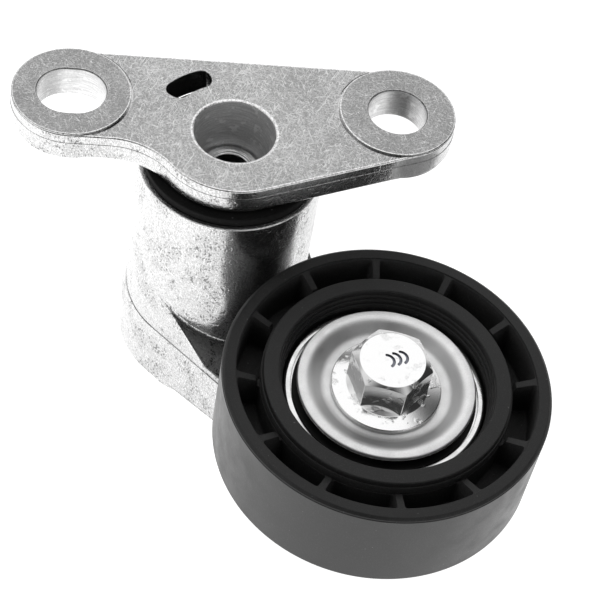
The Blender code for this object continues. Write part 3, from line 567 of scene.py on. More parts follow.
def cast_skin(name, bright=1.0, roughness=0.15, grime=1.0, shade_spot=None):
    """Tumbled die-cast aluminium: bright, with small dark pits, clouds of grime and faint scuffs.

    It can carry painted shade near one point, darker and rougher there, given as the point and its
    full and faded reach.
    """
    look = Look(name, roughness, metallic=1.0)
    grain = look.noise((0.0003, 0.0003, 0.00042), 3.0, rough=0.75)
    clouds = look.step(look.noise((0.0055, 0.0055, 0.0075), 3.0, rough=0.6), 0.46, 0.58)
    pits = look.step(look.noise((0.00042, 0.00042, 0.00066), 1.5, rough=0.65), 0.55, 0.62)
    pits = look.math("MULTIPLY", pits, look.step(clouds, 0.0, 1.0, 0.25 * grime, 0.85 * grime))
    stains = look.step(look.noise((0.0013, 0.0013, 0.0026), 3.0), 0.64, 0.72)
    metal = look.mix(look.step(grain, 0.36, 0.64), grey(0.50 * bright), grey(0.72 * bright))
    metal = look.over(metal, clouds, 0.30 * grime, 0.36 * bright)
    scuffs = look.scratches(0.0016, 0.0002, 3, 0.68, 0.6)
    metal = look.over(metal, scuffs, 0.7, min(0.95, 0.92 * bright))
    metal = look.over(metal, stains, 0.45 * grime, 0.24 * bright)
    metal = look.over(metal, pits, 0.92, 0.12 * bright)
    sheen = look.step(grain, 0.36, 0.64, roughness, roughness + 0.08)
    # Painted shade: darker and rougher towards the given point.
    if shade_spot:
        point, full, faded = shade_spot
        near = look.step(look.reach(point), full, faded, 1.0, 0.0)
        metal = look.over(metal, near, 0.75, 0.22)
        sheen = look.math("MULTIPLY_ADD", near, 0.4, sheen)
    look.colour(metal)
    look.roughness(sheen)
    dents = look.step(look.noise(0.0014, 1.0), 0.60, 0.74)
    relief = look.math("SUBTRACT", look.math("MULTIPLY", grain, 0.5), pits)
    relief = look.math("SUBTRACT", relief, look.math("MULTIPLY", dents, 1.2))
    look.bump(relief, 0.00004, 0.5)


def tumbled_face(name, low, high, mark, cut):
    """Flat face of the casting, covered in short bright scratches that run every way."""
    look = Look(name, 0.36, metallic=1.0)
    speckle = look.step(look.noise(0.00034, 3.0, rough=0.8), 0.38, 0.62)
    clouds = look.noise(0.009, 3.0)
    marks = look.scratches(0.0015, 0.00016, 6, cut)
    long_marks = look.scratches(0.0042, 0.00018, 4, cut + 0.03)
    pits = look.step(look.noise(0.0006, 2.0), 0.68, 0.74)
    metal = look.mix(speckle, grey(low), grey(high))
    metal = look.mix(look.step(clouds, 0.35, 0.65, 0.0, 0.30), metal, grey(low))
    metal = look.mix(marks, metal, grey(mark))
    metal = look.mix(long_marks, metal, grey(mark))
    look.colour(look.over(metal, pits, 0.5, low * 0.4))
    look.cloudy(clouds, 0.32, 0.44)
    look.bump(look.math("ADD", look.math("MULTIPLY", marks, -0.8), speckle), 0.00004, 0.6)


def worn_edge_highlight():
    """Edges that tumbling has rubbed bright, with a painted highlight: lighter than the cast skin.
    """
    look = Look("worn_edge_highlight", 0.24, metallic=1.0)
    grain = look.step(look.noise(0.0005, 2.0, rough=0.7), 0.34, 0.60)
    look.colour(look.mix(grain, grey(0.62), grey(0.96)))
    look.bump(grain, 0.00003, 0.6)


def bore_wall(name, low, high, roughness, smear, metallic=1.0):
    """Walls of the holes: rings of fine tool marks, with a few smears."""
    look = Look(name, roughness, metallic=metallic)
    rings = look.noise((0.003, 0.003, 0.00018), 2.0)
    smears = look.step(look.noise((0.0020, 0.0020, 0.0015), 3.0), 0.58, 0.64)
    grain = look.noise(0.0003, 2.0, rough=0.7)
    metal = look.mix(look.step(rings, 0.35, 0.65), grey(low), grey(high))
    metal = look.mix(look.step(grain, 0.40, 0.60, 0.0, 0.25), metal, grey(low * 0.6))
    look.colour(look.over(metal, smears, 0.75, smear))
    look.bump(look.math("ADD", rings, grain), 0.00003, 0.6)


def turned_steel(name, low, high, roughness, tint=(1.0, 1.0, 1.0)):
    """Turned or ground metal: faint rings round the axis and a soft variation along it."""
    look = Look(name, roughness, metallic=1.0)
    marks = look.noise((0.0020, 0.0020, 0.00016), 2.0)
    clouds = look.noise(0.0035, 2.0)
    metal = look.mix(look.step(marks, 0.35, 0.65), grey(low, tint), grey(high, tint))
    look.colour(look.mix(look.step(clouds, 0.50, 0.75, 0.0, 0.3), metal, grey(low * 0.8, tint)))
    look.cloudy(clouds, roughness * 0.85, roughness * 1.25)
    look.bump(marks, 0.00002, 0.5)


def zinc_bolt():
    """Bright zinc plate on a forged head: glossy, with a crystalline sparkle."""
    look = Look("zinc_bolt", 0.13, metallic=1.0)
    grain = look.noise(0.0002, 2.0, rough=0.75)
    patches = look.step(look.noise(0.0022, 2.0), 0.54, 0.68)
    crystals = look.math("MULTIPLY", look.step(grain, 0.46, 0.56), patches)
    look.colour(look.over(grey(0.94), crystals, 0.25, 0.40))
    look.roughness(look.step(patches, 0.0, 1.0, 0.10, 0.20))
    sparkle = look.math("MULTIPLY", grain, look.step(patches, 0.0, 1.0, 0.08, 1.0))
    look.bump(sparkle, 0.00006, 0.8)


def zinc_shield():
    """Pressed sheet with a satin zinc plate, with painted shade on its sloping band and a painted
    highlight on its crest and rolled rim.
    """
    look = Look("zinc_shield", 0.46, metallic=1.0)
    grain = look.step(look.noise(0.00026, 2.0, rough=0.7), 0.36, 0.66)
    clouds = look.noise(0.004, 2.0)
    reach = look.reach((*PULLEY_AXIS, 0.0), (1.0, 1.0, 0.0))
    start, end = SHIELD_SLOPE
    # Painted shade on the sloping band, darker than the land; painted highlight from the crest
    # outwards, lighter.
    inside = look.step(reach, start - 0.0002, start + 0.0006)
    outside = look.step(reach, end - 0.0014, end + 0.0003)
    metal = look.mix(inside, grey(0.84), grey(0.62))
    metal = look.mix(outside, metal, grey(0.94))
    look.colour(look.over(metal, grain, 0.2, 0.60))
    look.cloudy(clouds, 0.40, 0.50)
    look.bump(grain, 0.000012, 0.5)


def moulded_nylon(name, dark, light, roughness, specular=0.5, mottle=0.06):
    """Moulded plastic: fine matt grain, pale fibres, faint flow clouds, a few specks of dust."""
    look = Look(name, roughness, specular=specular)
    texture = look.noise(0.00022, 2.0, rough=0.7)
    clouds = look.noise(0.0055, 4.0, rough=0.65)
    fibres = look.scratches(0.0009, 0.00012, 2, 0.68, 0.5)
    body = look.mix(look.step(clouds, 0.35, 0.65), dark, light)
    pale = tuple(min(1.0, channel * 2.2 + 0.01) for channel in light[:3]) + (1.0,)
    body = look.mix(look.math("MULTIPLY", fibres, 0.4), body, pale)
    dust = look.step(look.noise(0.0005, 0.0), 0.85, 0.88)
    look.colour(look.over(body, dust, 0.4, 0.25))
    look.cloudy(clouds, roughness - mottle, roughness + mottle)
    look.bump(texture, 0.000025, 0.5)


def seal_rubber():
    look = Look("seal_rubber", 0.62, specular=0.35)
    clouds = look.noise(0.003, 2.0)
    look.colour(look.mix(look.step(clouds, 0.35, 0.65), grey(0.008), grey(0.016)))
    look.cloudy(clouds, 0.56, 0.70)
    look.bump(look.noise(0.0002, 2.0), 0.00002, 0.5)


def spring_steel():
    """Oil-tempered wire: dark blue grey with a shot-peened surface."""
    look = Look("spring_steel", 0.42, metallic=1.0)
    dents = look.noise(0.0005, 1.0)
    clouds = look.noise(0.004, 3.0)
    body = look.mix(look.step(clouds, 0.35, 0.65), (0.17, 0.18, 0.21, 1), (0.28, 0.29, 0.33, 1))
    look.colour(body)
    look.cloudy(clouds, 0.36, 0.50)
    look.bump(dents, 0.00006, 0.6)


# Painted shade on the right ear's side, a darker and rougher spot: its centre, and its full and
# faded reach.
EAR_SHADE_SPOT = ((0.0370, -0.0036, 0.0595), 0.0030, 0.0068)

cast_skin("cast_skin")
cast_skin("plate_skin", shade_spot=EAR_SHADE_SPOT)
# Painted shade: a darker, rougher copy of the cast skin, with more grime, for the arm's top and
# gusset under the pulley, the pad grooves and the rims of the ear holes.
cast_skin("shaded_skin", 0.58, 0.50, 1.4)
cast_skin("rubbed_side", 1.0, 0.18, 0.4, shade_spot=EAR_SHADE_SPOT)
tumbled_face("plate_face", 0.36, 0.74, 0.98, 0.70)
tumbled_face("pad_face", 0.31, 0.61, 0.90, 0.74)
worn_edge_highlight()
bore_wall("bore_wall", 0.62, 0.84, 0.40, 0.95)
bore_wall("recess_wall", 0.66, 0.86, 0.42, 1.0, 0.66)
turned_steel("pin_steel", 0.78, 0.97, 0.18)
turned_steel("bearing_steel", 0.74, 0.86, 0.14)
turned_steel("cage_steel", 0.42, 0.56, 0.34, (1.0, 0.97, 0.90))
zinc_bolt()
zinc_shield()
moulded_nylon("pulley_nylon", grey(0.020), grey(0.026), 0.46, specular=0.30)
# Painted light: a lighter copy of the pulley's nylon that lifts the shade in the deep pockets.
moulded_nylon("pocket_lit_nylon", grey(0.052), grey(0.060), 0.70, specular=0.20)
moulded_nylon("rim_nylon", grey(0.012), grey(0.024), 0.36, specular=0.49, mottle=0.07)
moulded_nylon("black_nylon", grey(0.006), grey(0.009), 0.70, specular=0.12)
moulded_nylon("natural_nylon", (0.50, 0.44, 0.32, 1), (0.62, 0.56, 0.44, 1), 0.50)
seal_rubber()
spring_steel()


# ---------------- pieces
def show(node, mesh, slot, body=None, looks=None, part_of=None):
    """Stands a fine mesh in for a CAD node, finished with the look named by slot when no looks are
    given, on the body it moves with.

    part_of names the look of each face, from the face's centre and normal.
    """
    looks = looks or [slot]
    for look in looks:
        mesh.materials.append(LOOKS[look])
    if part_of:
        for face in mesh.polygons:
            face.material_index = looks.index(part_of(face.center, face.normal))
    mesh.shade_smooth()
    mesh.set_sharp_from_angle(angle=SHARP_ANGLE)
    piece = bpy.data.objects.new("fine_" + node, mesh)
    bpy.context.scene.collection.objects.link(piece)
    if body:
        normals = piece.modifiers.new("flat_faces", "WEIGHTED_NORMAL")
        normals.keep_sharp = True
        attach(piece, body)
    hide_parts(node)
    return piece


def ear_pad(centre):
    """Machined pad: a disc through the ear, undercut where it stands proud of the plate."""
    neck = PAD_RADIUS - 0.00035
    lip = PAD_RADIUS - 0.0001
    profile = [
        (0, PAD_UNDER), (neck, PAD_UNDER, SOFT), (neck, PLATE_TOP + 0.00006),
        (lip, PLATE_TOP + 0.00014), (lip, PAD_TOP - 0.00012),
        (lip - 0.0001, PAD_TOP - 0.00003), (lip - 0.00032, PAD_TOP), (0, PAD_TOP),
    ]
    return lathe("pad", profile, centre)


def pad_groove(centre, start, end):
    """Fine groove left by the cutter round a pad, on the side where the plate goes on."""
    outline = ring_sector(PAD_RADIUS - 0.00015, PAD_RADIUS + 0.00026, start, end, 0.0, centre)
    return loft("groove", outline, [(0, PLATE_TOP - 0.0003), (0, PLATE_TOP + OVERSHOOT)])


def recess_cutter():
    """The deep round recess, its rim band, worn and with a painted highlight, and the pin's hole
    below it.
    """
    mouth = 0.0002
    worn = 0.0005
    profile = [
        (0, DRUM_BOTTOM - OVERSHOOT), (PIN_HOLE, DRUM_BOTTOM - OVERSHOOT),
        (PIN_HOLE, RECESS_FLOOR), (RECESS_FLOOR_RADIUS, RECESS_FLOOR, SOFT),
        (RECESS_MOUTH - mouth / 2, PLATE_TOP - mouth, SOFT),
        (RECESS_MOUTH + mouth / 2, PLATE_TOP - worn / 4), (RECESS_MOUTH + worn, PLATE_TOP),
        (RECESS_MOUTH + worn, PLATE_TOP + OVERSHOOT), (0, PLATE_TOP + OVERSHOOT),
    ]
    return lathe("recess", profile)


def plate_piece():
    """Plate with a parting ledge, pads, drum, ear holes, kidney window and recess."""
    top = PLATE_TOP
    ledge, rounding = 0.00008, 0.00036
    wall = edge_levels(PLATE_UNDER, PLATE_PARTING_Z, 0.0006)
    wall += [(ledge, PLATE_PARTING_Z + 0.00006)]
    wall += [(ledge + y, top - x) for x, y in bend(rounding)[:-2]]
    wall += [(0.0003, top - 0.00003), (0.00052, top)]
    drum = [(0, DRUM_BOTTOM), (DRUM_RADIUS, DRUM_BOTTOM, 0.0004)]
    drum += [(DRUM_RADIUS, PLATE_UNDER + OVERSHOOT), (0, PLATE_UNDER + OVERSHOOT)]
    hole_levels = flared_levels(PAD_UNDER, PAD_TOP, 0.0004)
    right_hole = loft("right_hole", circle(RIGHT_EAR, HOLE_RADIUS), hole_levels)
    left_hole = loft("left_hole", slot_outline(LEFT_EAR, HOLE_RADIUS, SLOT_STRETCH), hole_levels)
    window_levels = flared_levels(PLATE_UNDER, top, FINE)[-EDGE_STEPS - 2:]
    window_levels.insert(0, (0, PLATE_UNDER - OVERSHOOT))
    window = loft("window", ring_sector(*WINDOW), window_levels)
    grooves = [
        pad_groove(LEFT_EAR, radians(-68), radians(64)),
        pad_groove(RIGHT_EAR, radians(116), radians(270)),
    ]
    raised = [ear_pad(LEFT_EAR), ear_pad(RIGHT_EAR), lathe("drum", drum)]
    mesh = carve(
        loft("plate", plate_outline(), wall),
        ("DIFFERENCE", joined("grooves", grooves)),
        ("UNION", joined("raised", raised)),
        ("DIFFERENCE", joined("cuts", [right_hole, left_hole, window, recess_cutter()])),
    )

    rubbed = direction(radians(20.0), 0.0)

    def part_of(centre, normal):
        if away(centre) < RECESS_MOUTH - SKIM and centre.z < top - 0.0005:
            return "recess_wall"
        for ear in (LEFT_EAR, RIGHT_EAR):
            reach = away(centre, ear)
            if reach < HOLE_RADIUS + SLOT_STRETCH / 2 and abs(normal.z) < 0.5:
                return "bore_wall"
            # Painted shade: the flared rims of the ear holes and the grooves round the pads get the
            # darker skin.
            if reach < HOLE_RADIUS + 0.0016 and centre.z > PAD_TOP - 0.0003 and normal.z < 0.95:
                return "shaded_skin"
            in_groove = top - 0.0004 < centre.z < top - SKIM and normal.z > 0.99
            if abs(reach - PAD_RADIUS) < 0.0005 and in_groove:
                return "shaded_skin"
        # Worn edges with a painted highlight on the rounded edges of the top.
        if centre.z > top - 0.0005 and 0.3 < normal.z < 0.9985:
            return "worn_edge_highlight"
        if centre.z > PAD_TOP - SKIM or RECESS_FLOOR < centre.z < PAD_UNDER + SKIM:
            return "pad_face"
        if normal.dot(rubbed) > 0.98:
            return "rubbed_side"
        return "plate_face" if centre.z > top - SKIM and normal.z > 0.9 else "plate_skin"

    looks = ["plate_skin", "plate_face", "pad_face", "bore_wall"]
    looks += ["recess_wall", "worn_edge_highlight", "shaded_skin", "rubbed_side"]
    show("mounting_plate", mesh, "cast_aluminium", "base", looks, part_of)


def pin_piece():
    """Hollow pin, its end rolled over at the bottom of the recess, with a groove in the roll."""
    groove = 0.00475
    profile = [
        (0, PIN_BOTTOM), (PIN_HEAD_RADIUS, PIN_BOTTOM, 0.0005),
        (PIN_HEAD_RADIUS, PIN_HEAD_HEIGHT, SOFT), (PIN_RADIUS, PIN_HEAD_HEIGHT, SOFT),
        (PIN_RADIUS, RECESS_FLOOR + 0.0001), (PIN_FLARE, RECESS_FLOOR + 0.0001, SOFT),
        (PIN_FLARE, PIN_TOP, SOFT), (groove + 0.00025, PIN_TOP, CRISP),
        (groove, PIN_TOP - 0.0004, CRISP), (groove - 0.00025, PIN_TOP, CRISP),
        (PIN_BORE, PIN_TOP, SOFT), (PIN_BORE, PIN_BORE_FLOOR, 0.0010), (0, PIN_BORE_FLOOR),
    ]
    show("pivot_pin", lathe("pin", profile, segments=SMALL_SEGMENTS), "pin_steel", "base")


def pivot_stack():
    """Retaining plate, washer, sleeve, damper and the black ring in the cup's mouth."""
    disc = lathe("disc", ring(PIN_HOLE, WASHER_RADIUS, RETAINER_BOTTOM, RETAINER_TOP))
    reach, first, last = STOP_TAB
    outline = ring_sector((PIN_HOLE + WASHER_RADIUS) / 2, reach, first, last, 0.0004)
    levels = edge_levels(RETAINER_BOTTOM + SKIM, RETAINER_TOP - SKIM, CRISP, CRISP)
    tab = loft("tab", outline, levels)
    show("retaining_plate", carve(disc, ("UNION", tab)), "pin_steel", "base")
    for node, fillet, body in (("thrust_washer", FINE, "base"), ("pivot_bushing", 0.0004, "arm")):
        _, outer, bottom, top = round_node(node)
        mesh = lathe(node + "_ring", ring(PIN_HOLE, outer, bottom, top, fillet))
        show(node, mesh, "natural_nylon", body)
    split = radians(12.0)
    sections = []
    for i in range(SMALL_SEGMENTS + 1):
        angle = split / 2 + (tau - split) * i / SMALL_SEGMENTS
        sections.append(ring_section(angle, BUSHING_INNER, SEAT_OUTER, DAMPER_BOTTOM, DAMPER_TOP))
    show("damper_ring", sweep("damper", sections), "natural_nylon", "arm")
    rim = CUP_RIM + GAP
    profile = [
        (BUSHING_INNER, BUSHING_BOTTOM, FINE), (SEAT_OUTER, BUSHING_BOTTOM, FINE),
        (SEAT_OUTER, rim), (BUSHING_FLANGE, rim, SOFT), (BUSHING_FLANGE, BUSHING_TOP, SOFT),
        (BUSHING_INNER, BUSHING_TOP, FINE),
    ]
    show("upper_bushing", lathe("bushing", profile), "black_nylon", "arm")


def coil_height(turn):
    return COIL_START_Z + COIL_PITCH * turn


def spring_pieces():
    """The coil, between the arm at its foot and the plate at its head, goes on no body; its seats
    go with the arm and the plate.
    """
    per_turn, sides = 64, 16
    sections = []
    for i in range(COIL_TURNS * per_turn + 1):
        turn = i / per_turn
        angle = COIL_START_ANGLE + tau * turn
        section = []
        for side in range(sides):
            around = tau * side / sides
            x, y = polar(COIL_RADIUS + WIRE_RADIUS * cos(around), angle)
            section.append((x, y, coil_height(turn) + WIRE_RADIUS * sin(around)))
        sections.append(section)
    coil = show("torsion_spring", sweep("coil", sections), "spring_steel")
    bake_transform(coil)
    share = 1 - SEAT_SPLIT / tau
    for node, body in (("lower_spring_seat", "arm"), ("upper_spring_seat", "base")):
        sections = []
        for i in range(per_turn + 1):
            turn = share * i / per_turn
            if body == "base":
                turn += COIL_TURNS - share
                bottom, top = coil_height(turn) + SEAT_REACH, DRUM_BOTTOM - GAP
            else:
                bottom, top = CUP_FLOOR + GAP, coil_height(turn) - SEAT_REACH
            angle = COIL_START_ANGLE + tau * turn
            sections.append(ring_section(angle, SEAT_INNER, SEAT_OUTER, bottom, top))
        show(node, sweep(node + "_ramp", sections), "black_nylon", body)


# ---------------- arm
def undercut():
    """What is hollowed under the arm, between the round foot and the round boss."""
    foot, boss = FOOT_RADIUS + 0.0005, BOSS_RADIUS + 0.0005
    spread, wide = radians(75), 1.6 * FOOT_RADIUS
    foot_arc = arc(PIVOT, foot, ARM_ANGLE - spread, ARM_ANGLE + spread)
    boss_arc = arc(PULLEY_AXIS, boss, ARM_ANGLE + pi - spread, ARM_ANGLE + pi + spread)
    ends = []
    for along in (foot * cos(spread), ARM_LENGTH - boss * cos(spread)):
        middle = polar(along, ARM_ANGLE)
        ends.append([polar(wide, ARM_ANGLE + side * pi / 2, middle) for side in (1, -1)])
    outline = foot_arc + [ends[0][0], ends[1][0]] + boss_arc + [ends[1][1], ends[0][1]]
    bm = bmesh.new()
    face = bm.faces.new([bm.verts.new((x, y, -OVERSHOOT)) for x, y in outline])
    lifted = bmesh.ops.extrude_face_region(bm, geom=[face])["geom"]
    for vert in lifted:
        if isinstance(vert, bmesh.types.BMVert):
            along = vert.co.x * cos(ARM_ANGLE) + vert.co.y * sin(ARM_ANGLE)
            vert.co.z = UNDERSIDE_Z + min(0.0, UNDERSIDE_SLOPE * (along - UNDERSIDE_SLOPE_END))
    return as_mesh(bm, "undercut")


def gusset():
    """Web that falls from the cup to the arm's top, flush with the arm's upper side walls."""
    near, far = UPPER_FOOT - SKIM, UPPER_BOSS
    lean = acos((near - far) / ARM_LENGTH)
    reach = (GUSSET_APEX_Z - ARM_TOP) / GUSSET_SLOPE + 0.0010
    sections = []
    for along in (near * cos(lean), reach):
        half = (near - along * cos(lean)) / sin(lean)
        top = GUSSET_APEX_Z - GUSSET_SLOPE * along
        middle = polar(along, ARM_ANGLE)
        corners = [(-half, LEDGE_Z), (half, LEDGE_Z), (half, top, 0.0005), (-half, top, 0.0005)]
        section = []
        for across, z in rounded(corners):
            section.append((*polar(across, ARM_ANGLE + pi / 2, middle), z))
        sections.append(section)
    return sweep("gusset", sections)


def gusset_fillet(radius=0.0009):
    """The soft inside corner where the sloping web runs into the cup's round wall."""
    sections = []
    half_turn, steps = radians(74), 60
    wall = CUP_RADIUS + 0.0001
    for i in range(steps + 1):
        angle = ARM_ANGLE - half_turn + 2 * half_turn * i / steps
        fall = GUSSET_SLOPE * cos(angle - ARM_ANGLE)
        profile = [(wall - 0.0006, -0.0005), (wall + radius, -0.0005)]
        profile += [(wall + x, y + SKIM) for x, y in bend(radius, 6)]
        profile += [(wall - 0.0006, radius)]
        sections.append([(*polar(r, angle), GUSSET_APEX_Z - fall * r + z) for r, z in profile])
    near, far = UPPER_FOOT - 0.0003, UPPER_BOSS - 0.0003
    limit = loft("limit", two_circle_outline(near, far), edge_levels(LEDGE_Z, CUP_RIM))
    return carve(sweep("fillet", sections), ("INTERSECT", limit))


def arm_piece():
    """Spring cup, foot, parting ledge, gusset, arm and the bearing's pedestal, in one casting."""
    lower = two_circle_outline(FOOT_RADIUS, BOSS_RADIUS)
    upper = two_circle_outline(UPPER_FOOT, UPPER_BOSS)
    lower_levels = edge_levels(0.0, LEDGE_Z, 0.0008)[:-1] + [(0, LEDGE_Z - 0.0034)]
    lower_levels += [(PARTING_LEDGE * 0.72, LEDGE_Z - 0.0002), (PARTING_LEDGE * 0.9, LEDGE_Z)]
    upper_levels = [(0.0003, LEDGE_Z - OVERSHOOT), (0.0003, LEDGE_Z + 0.00012)]
    upper_levels += [(0, LEDGE_Z + 0.00016)]
    upper_levels += edge_levels(LEDGE_Z + OVERSHOOT, ARM_TOP, 0.0, 0.0005)
    cup_foot = LEDGE_Z - 2 * OVERSHOOT
    cup_base = UPPER_FOOT + SKIM
    cup = [
        (0, cup_foot), (cup_base - 0.0004, cup_foot), (cup_base - 0.0004, LEDGE_Z + 0.0003),
        (cup_base, LEDGE_Z + 0.0006), (cup_base, ARM_TOP), (CUP_RADIUS, CUP_RIM, 0.00022),
        (0, CUP_RIM),
    ]
    (pedestal, pedestal_top), (spigot, spigot_top) = PEDESTAL, SPIGOT
    boss = [
        (0, cup_foot), (pedestal + 0.0010, cup_foot), (pedestal + 0.0010, ARM_TOP + SKIM),
        (pedestal, ARM_TOP + 0.0010, 0.0008), (pedestal, pedestal_top, SOFT),
        (spigot, pedestal_top, SOFT), (spigot, spigot_top, 0.0005), (0, spigot_top),
    ]
    recess, recess_top = FOOT_RECESS
    inside = [
        (0, -OVERSHOOT), (recess + 0.0003, -OVERSHOOT), (recess + 0.0003, 0.0), (recess, 0.0003),
        (recess, recess_top, 0.0004), (HUB_BORE, recess_top, FINE), (HUB_BORE, HUB_TOP),
        (HUB_RADIUS, HUB_TOP), (HUB_RADIUS, CUP_FLOOR, 0.0006), (CUP_BORE, CUP_FLOOR, 0.0006),
        (CUP_BORE, CUP_RIM - 0.0003), (CUP_BORE + 0.0003, CUP_RIM + SKIM),
        (CUP_BORE + 0.0003, CUP_RIM + OVERSHOOT), (0, CUP_RIM + OVERSHOOT),
    ]
    pocket_radius, first, last = STOP_POCKET
    pocket = ring_sector(recess - OVERSHOOT, pocket_radius, first, last, SOFT)
    thread = circle(PULLEY_AXIS, BOLT_THREAD_HOLE, SMALL_SEGMENTS)
    mesh = carve(
        loft("arm", lower, lower_levels),
        ("DIFFERENCE", undercut()),
        ("UNION", loft("upper_half", upper, upper_levels)),
        ("UNION", gusset()),
        ("UNION", lathe("cup", cup)),
        ("UNION", gusset_fillet()),
        ("UNION", lathe("boss", boss, PULLEY_AXIS, SMALL_SEGMENTS)),
        ("DIFFERENCE", lathe("inside", inside)),
        ("DIFFERENCE", loft("pocket", pocket, edge_levels(-OVERSHOOT, RETAINER_TOP + 0.0003))),
        ("DIFFERENCE", loft("thread", thread, flared_levels(0.0, spigot_top, 0.0004))),
    )

    def part_of(centre, normal):
        in_cup = away(centre) < CUP_BORE + 0.0002
        in_bolt_hole = away(centre, PULLEY_AXIS) < spigot + SKIM and abs(normal.z) < 0.5
        on_gusset = centre.z > ARM_TOP and 0.75 < normal.z < 0.97
        # The cup's rim: worn, with a painted highlight.
        if centre.z > CUP_RIM - 0.0002 and normal.z > 0.2:
            return "worn_edge_highlight"
        if centre.z < SKIM and normal.z < -0.9:
            return "pad_face"
        # Painted shade: the gusset's slope and the arm's top, under the pulley, get the darker
        # skin.
        if on_gusset or abs(centre.z - ARM_TOP) < SKIM:
            return "shaded_skin"
        return "bore_wall" if in_cup or in_bolt_hole else "cast_skin"

    looks = ["cast_skin", "bore_wall", "shaded_skin", "worn_edge_highlight", "pad_face"]
    show("tensioner_arm", mesh, "cast_aluminium", "arm", looks, part_of)


# ---------------- bolt and shields
def bolt_piece():
    """Flange bolt: chamfered hexagon with a plain forging mark, conical flange, rolled thread."""
    flange, shank = BOLT_FLANGE_RADIUS, BOLT_RADIUS
    tip, seat, top = BOLT_TIP, BOLT_SEAT, BOLT_HEAD_TOP
    edge = seat + BOLT_FLANGE_EDGE
    rise = 0.0011
    chamfer = 0.0010
    start = tip + chamfer
    corners = [(0, tip), (shank - chamfer, tip), (shank, start)]
    rows = int((THREAD_TOP - tip) / THREAD_PITCH * 10)
    for i in range(1, rows):
        corners.append((shank, start + (THREAD_TOP - tip - chamfer) * i / rows))
    corners += [
        (shank, seat - 0.0004), (shank + 0.0004, seat),
        (flange, seat, FINE), (flange, edge, 0.00035),
        (HEX_CORNER, edge + rise * 0.62, 0.0010), (HEX_CORNER - 0.0018, edge + rise * 1.3),
        (0, edge + rise * 1.3),
    ]

    def thread(radius, z, angle):
        if not tip + 0.0005 < z < THREAD_TOP:
            return radius
        phase = (z / THREAD_PITCH - angle / tau) % 1.0
        fade = min(1.0, (THREAD_TOP - z) / THREAD_PITCH)
        return radius - THREAD_DEPTH * fade * abs(2 * phase - 1)

    body = lathe("bolt_body", corners, PULLEY_AXIS, SMALL_SEGMENTS, thread)
    corners = [polar(HEX_CORNER, HEX_ANGLE + tau * i / 6, PULLEY_AXIS) for i in range(6)]
    hexagon = rounded([(x, y, 0.00035) for x, y in corners])
    drop = (flange - HEX_CHAMFER_RADIUS) * 0.5
    crown = [
        (0, seat), (flange, seat), (flange, top - drop), (HEX_CHAMFER_RADIUS, top, 0.0006),
        (0, top),
    ]
    marks = []
    ends = (MARK_TURN - MARK_HALF_TURN, MARK_TURN + MARK_HALF_TURN)
    for along in (-MARK_SPACING, 0.0, MARK_SPACING):
        middle = polar(along, MARK_TURN, PULLEY_AXIS)
        bar = ring_sector(*MARK_RADII, *ends, FINE, middle)
        levels = edge_levels(top - MARK_DEPTH, top + OVERSHOOT)
        marks.append(loft("mark", bar, levels))
    head = carve(
        loft("head", hexagon, edge_levels(edge, top + OVERSHOOT)),
        ("INTERSECT", lathe("crown", crown, PULLEY_AXIS, SMALL_SEGMENTS)),
        ("UNION", body),
        *[("DIFFERENCE", mark) for mark in marks],
    )

    def part_of(centre, normal):
        on_top = away(centre, PULLEY_AXIS) < HEX_CHAMFER_RADIUS
        in_mark = on_top and SKIM < top - centre.z < MARK_DEPTH + SKIM
        # Painted shade: the faces inside the recessed mark get the dark spring steel look.
        return "spring_steel" if in_mark else "zinc_bolt"

    show("pulley_bolt", head, "zinc_bolt", "arm", ["zinc_bolt", "spring_steel"], part_of)


def shield_pieces():
    """The front shield: land, sloping band, rolled rim. Behind, the spacer with its skirt."""
    sheet, hole = 0.0008, 0.0055
    land, edge, top = BOLT_SEAT - GAP, FRONT_SHIELD_RADIUS, FRONT_SHIELD_TOP
    lip = top - 0.0012
    slope_start, slope_end = SHIELD_SLOPE
    profile = [
        (hole, BEARING_TOP + GAP), (slope_start - 0.0005, BEARING_TOP + GAP),
        (slope_end + 0.0001, top - sheet, 0.0020), (edge - sheet, top - sheet, 0.0004),
        (edge - sheet, lip), (edge, lip, SOFT), (edge, top - 0.0002, 0.0004),
        (slope_end, top, 0.0030), (slope_start, land, 0.0030), (hole, land),
    ]
    show("front_dust_shield", lathe("shield", profile, PULLEY_AXIS), "zinc_shield", "arm")
    inner, sleeve = SPIGOT[0] + 0.0003, INNER_LAND - 0.0003
    foot, reach, head = REAR_SHIELD_BOTTOM, REAR_SHIELD_RADIUS, REAR_SHIELD_TOP
    skirt = foot + 0.0005
    profile = [
        (inner, foot, FINE), (sleeve, foot, 0.0004),
        (reach, skirt, SOFT), (reach, skirt + sheet, SOFT),
        (sleeve, skirt + sheet, SOFT), (sleeve, head, FINE), (inner, head, FINE),
    ]
    show("rear_dust_shield", lathe("spacer", profile, PULLEY_AXIS), "zinc_shield", "arm")


# ---------------- ball bearing
def race_groove(land, side):
    """Profile of the track for the balls, up to where it meets a ring's land."""
    half = acos(side * (land - BALL_CIRCLE) / RACE_RADIUS)
    steps = 6
    points = []
    for i in range(2 * steps + 1):
        angle = half * (1 - i / steps)
        height = BEARING_MIDDLE + RACE_RADIUS * sin(angle)
        points.append((BALL_CIRCLE + side * RACE_RADIUS * cos(angle), height))
    return points


